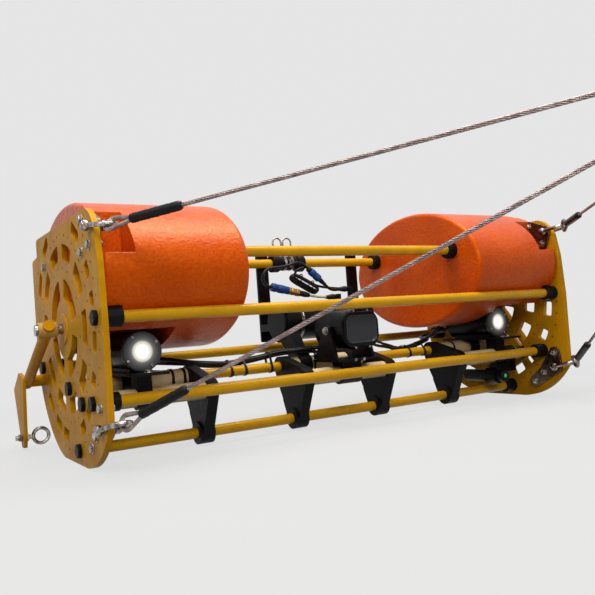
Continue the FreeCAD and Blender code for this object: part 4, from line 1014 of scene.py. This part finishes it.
HOUSING_ROUND = (0.056, -0.018, 0.0481)
LIFT_ROUND = (0.151, 0.152, 0.0201)
HOUSING_CLAMPS = (0.6300, 0.7820)
LIFT_CLAMPS = (0.6635, 0.6865)
LIFT_SCREW = Vector((0.675, 0.128, 0.149))
WORM_OUT = 0.0505
WORM_TANGENT = Vector((0, 0.37, 0.93))
work = bmesh.new()
for x in HOUSING_CLAMPS:
    band(work, x, [HOUSING_ROUND], *HOUSING_BAND)
    worm = Vector((x, *HOUSING_ROUND[:2])) + X_AXIS.cross(WORM_TANGENT) * WORM_OUT
    lathe(work, [(0.0, -0.008), (0.0042, -0.008), (0.0042, 0.008), (0.0, 0.008)], worm, WORM_TANGENT, 8)
for x in LIFT_CLAMPS:
    band(work, x, [LIFT_ROUND], *LIFT_BAND)
lathe(work, [(0.0, -0.010), (0.0040, -0.010), (0.0040, 0.008), (0.0056, 0.008), (0.0056, 0.0115),
             (0.0, 0.0115)], LIFT_SCREW, Z_AXIS, 12)
finish_mesh(work, "band_clamps", "frame", stainless)

# Laser: its green tip, and the black rim round it

LASER_TIP = Vector((FRAME_LENGTH - 0.140, -0.170, -0.216))
material, tree, shader = node_tree("green_tip")
green = ramp(tree, noise(tree, 160.0), [(0.35, (0.005, 0.12, 0.03)), (0.65, (0.05, 0.60, 0.16))])
tree.links.new(green, shader.inputs["Emission Color"])
fill(shader, Base_Color=(0.0, 0.03, 0.01, 1), Emission_Strength=0.7)
work = bmesh.new()
tip = [(0.0055, 0.0006), (0.0050, 0.0), (0.0, 0.0004)]
lathe(work, tip, LASER_TIP - Y_AXIS * 0.0006, Y_AXIS, 24)
finish_mesh(work, "laser_tip", "frame", material)
work = bmesh.new()
ring = [(0.0150, 0.0007), (0.0140, 0.0), (0.0075, 0.0), (0.0062, 0.0007)]
lathe(work, ring, LASER_TIP - Y_AXIS * 0.0007, Y_AXIS, 32)
finish_mesh(work, "laser_rim", "frame", black_metal)

# Floor, backdrop and lights of the studio

FLOOR_PLAIN = 0.855
FLOOR_LIT = 0.09
FLOOR_BOUNCE = 0.22
FLOOR_FADE = (0.9, 2.0)
FLOOR_Z = -0.2885
GREY = 0.787


def grey(level):
    """Colour of one level in red, green and blue."""
    return (level, level, level, 1)


def seen_rays(tree):
    """1 for camera, mirror and glass rays, which see the plain background."""
    paths = tree.nodes.new("ShaderNodeLightPath")
    total = paths.outputs["Is Camera Ray"]
    for name in ("Is Glossy Ray", "Is Transmission Ray"):
        total = maths(tree, "MAXIMUM", total, paths.outputs[name])
    return total


def backdrop_material():
    """Plain grey that keeps a soft shadow of the object and is even further off."""
    material = bpy.data.materials.new("floor_grey")
    material.use_nodes = True
    tree = material.node_tree
    tree.nodes.clear()
    output = tree.nodes.new("ShaderNodeOutputMaterial")
    plain = add(tree, "ShaderNodeEmission", Color=grey(GREY), Strength=FLOOR_PLAIN)
    lit = add(tree, "ShaderNodeBsdfDiffuse", Color=grey(FLOOR_LIT))
    both = tree.nodes.new("ShaderNodeAddShader")
    tree.links.new(plain.outputs[0], both.inputs[0])
    tree.links.new(lit.outputs[0], both.inputs[1])
    even = add(tree, "ShaderNodeEmission", Color=grey(GREY), Strength=1.0)
    offset = tree.nodes.new("ShaderNodeVectorMath")
    offset.operation = "DISTANCE"
    offset.inputs[1].default_value = (MIDDLE, 0.0, FLOOR_Z)
    tree.links.new(object_place(tree), offset.inputs[0])
    far = tree.nodes.new("ShaderNodeMixShader")
    tree.links.new(spread(tree, offset.outputs["Value"], 0.0, 1.0, *FLOOR_FADE), far.inputs[0])
    tree.links.new(both.outputs[0], far.inputs[1])
    tree.links.new(even.outputs[0], far.inputs[2])
    soft = add(tree, "ShaderNodeBsdfDiffuse", Color=grey(FLOOR_BOUNCE))
    mix = tree.nodes.new("ShaderNodeMixShader")
    tree.links.new(seen_rays(tree), mix.inputs[0])
    tree.links.new(soft.outputs[0], mix.inputs[1])
    tree.links.new(far.outputs[0], mix.inputs[2])
    tree.links.new(mix.outputs[0], output.inputs["Surface"])
    return material


floor_mesh = bpy.data.meshes.new("floor")
floor_corners = [(x, y, FLOOR_Z) for x, y in ((-6, -6), (8, -6), (8, 8), (-6, 8))]
floor_mesh.from_pydata(floor_corners, [], [(0, 1, 2, 3)])
floor = bpy.data.objects.new("floor", floor_mesh)
scene.collection.objects.link(floor)
floor_mesh.materials.append(backdrop_material())

world = bpy.data.worlds.new("studio")
scene.world = world
world.use_nodes = True
tree = world.node_tree
tree.nodes.clear()
output = tree.nodes.new("ShaderNodeOutputWorld")
seen = add(tree, "ShaderNodeBackground", Color=grey(GREY), Strength=1.0)
lit = add(tree, "ShaderNodeBackground", Color=(0.66, 0.66, 0.68, 1), Strength=0.30)
mix = tree.nodes.new("ShaderNodeMixShader")
tree.links.new(seen_rays(tree), mix.inputs[0])
tree.links.new(lit.outputs[0], mix.inputs[1])
tree.links.new(seen.outputs[0], mix.inputs[2])
tree.links.new(mix.outputs[0], output.inputs["Surface"])


def area_light(name, place, target, size, power, colour):
    """Rectangular lamp at a place, aimed at a target."""
    data = bpy.data.lights.new(name, "AREA")
    data.shape = "RECTANGLE"
    data.size, data.size_y = size
    data.energy = power
    data.color = colour
    lamp = bpy.data.objects.new(name, data)
    scene.collection.objects.link(lamp)
    lamp.location = place
    lamp.rotation_euler = (Vector(target) - Vector(place)).to_track_quat("-Z", "Y").to_euler()


area_light("overhead", (0.6, -0.2, 2.3), (0.65, 0.0, 0.0), (2.2, 1.2), 80, (1.0, 0.97, 0.94))
area_light("front", (-0.3, -2.8, 1.5), (0.6, 0.0, 0.0), (1.6, 1.0), 46, (1.0, 0.98, 0.95))
area_light("left", (-1.5, -0.7, 1.5), (0.0, 0.0, 0.1), (0.8, 0.8), 14, (1.0, 0.96, 0.9))
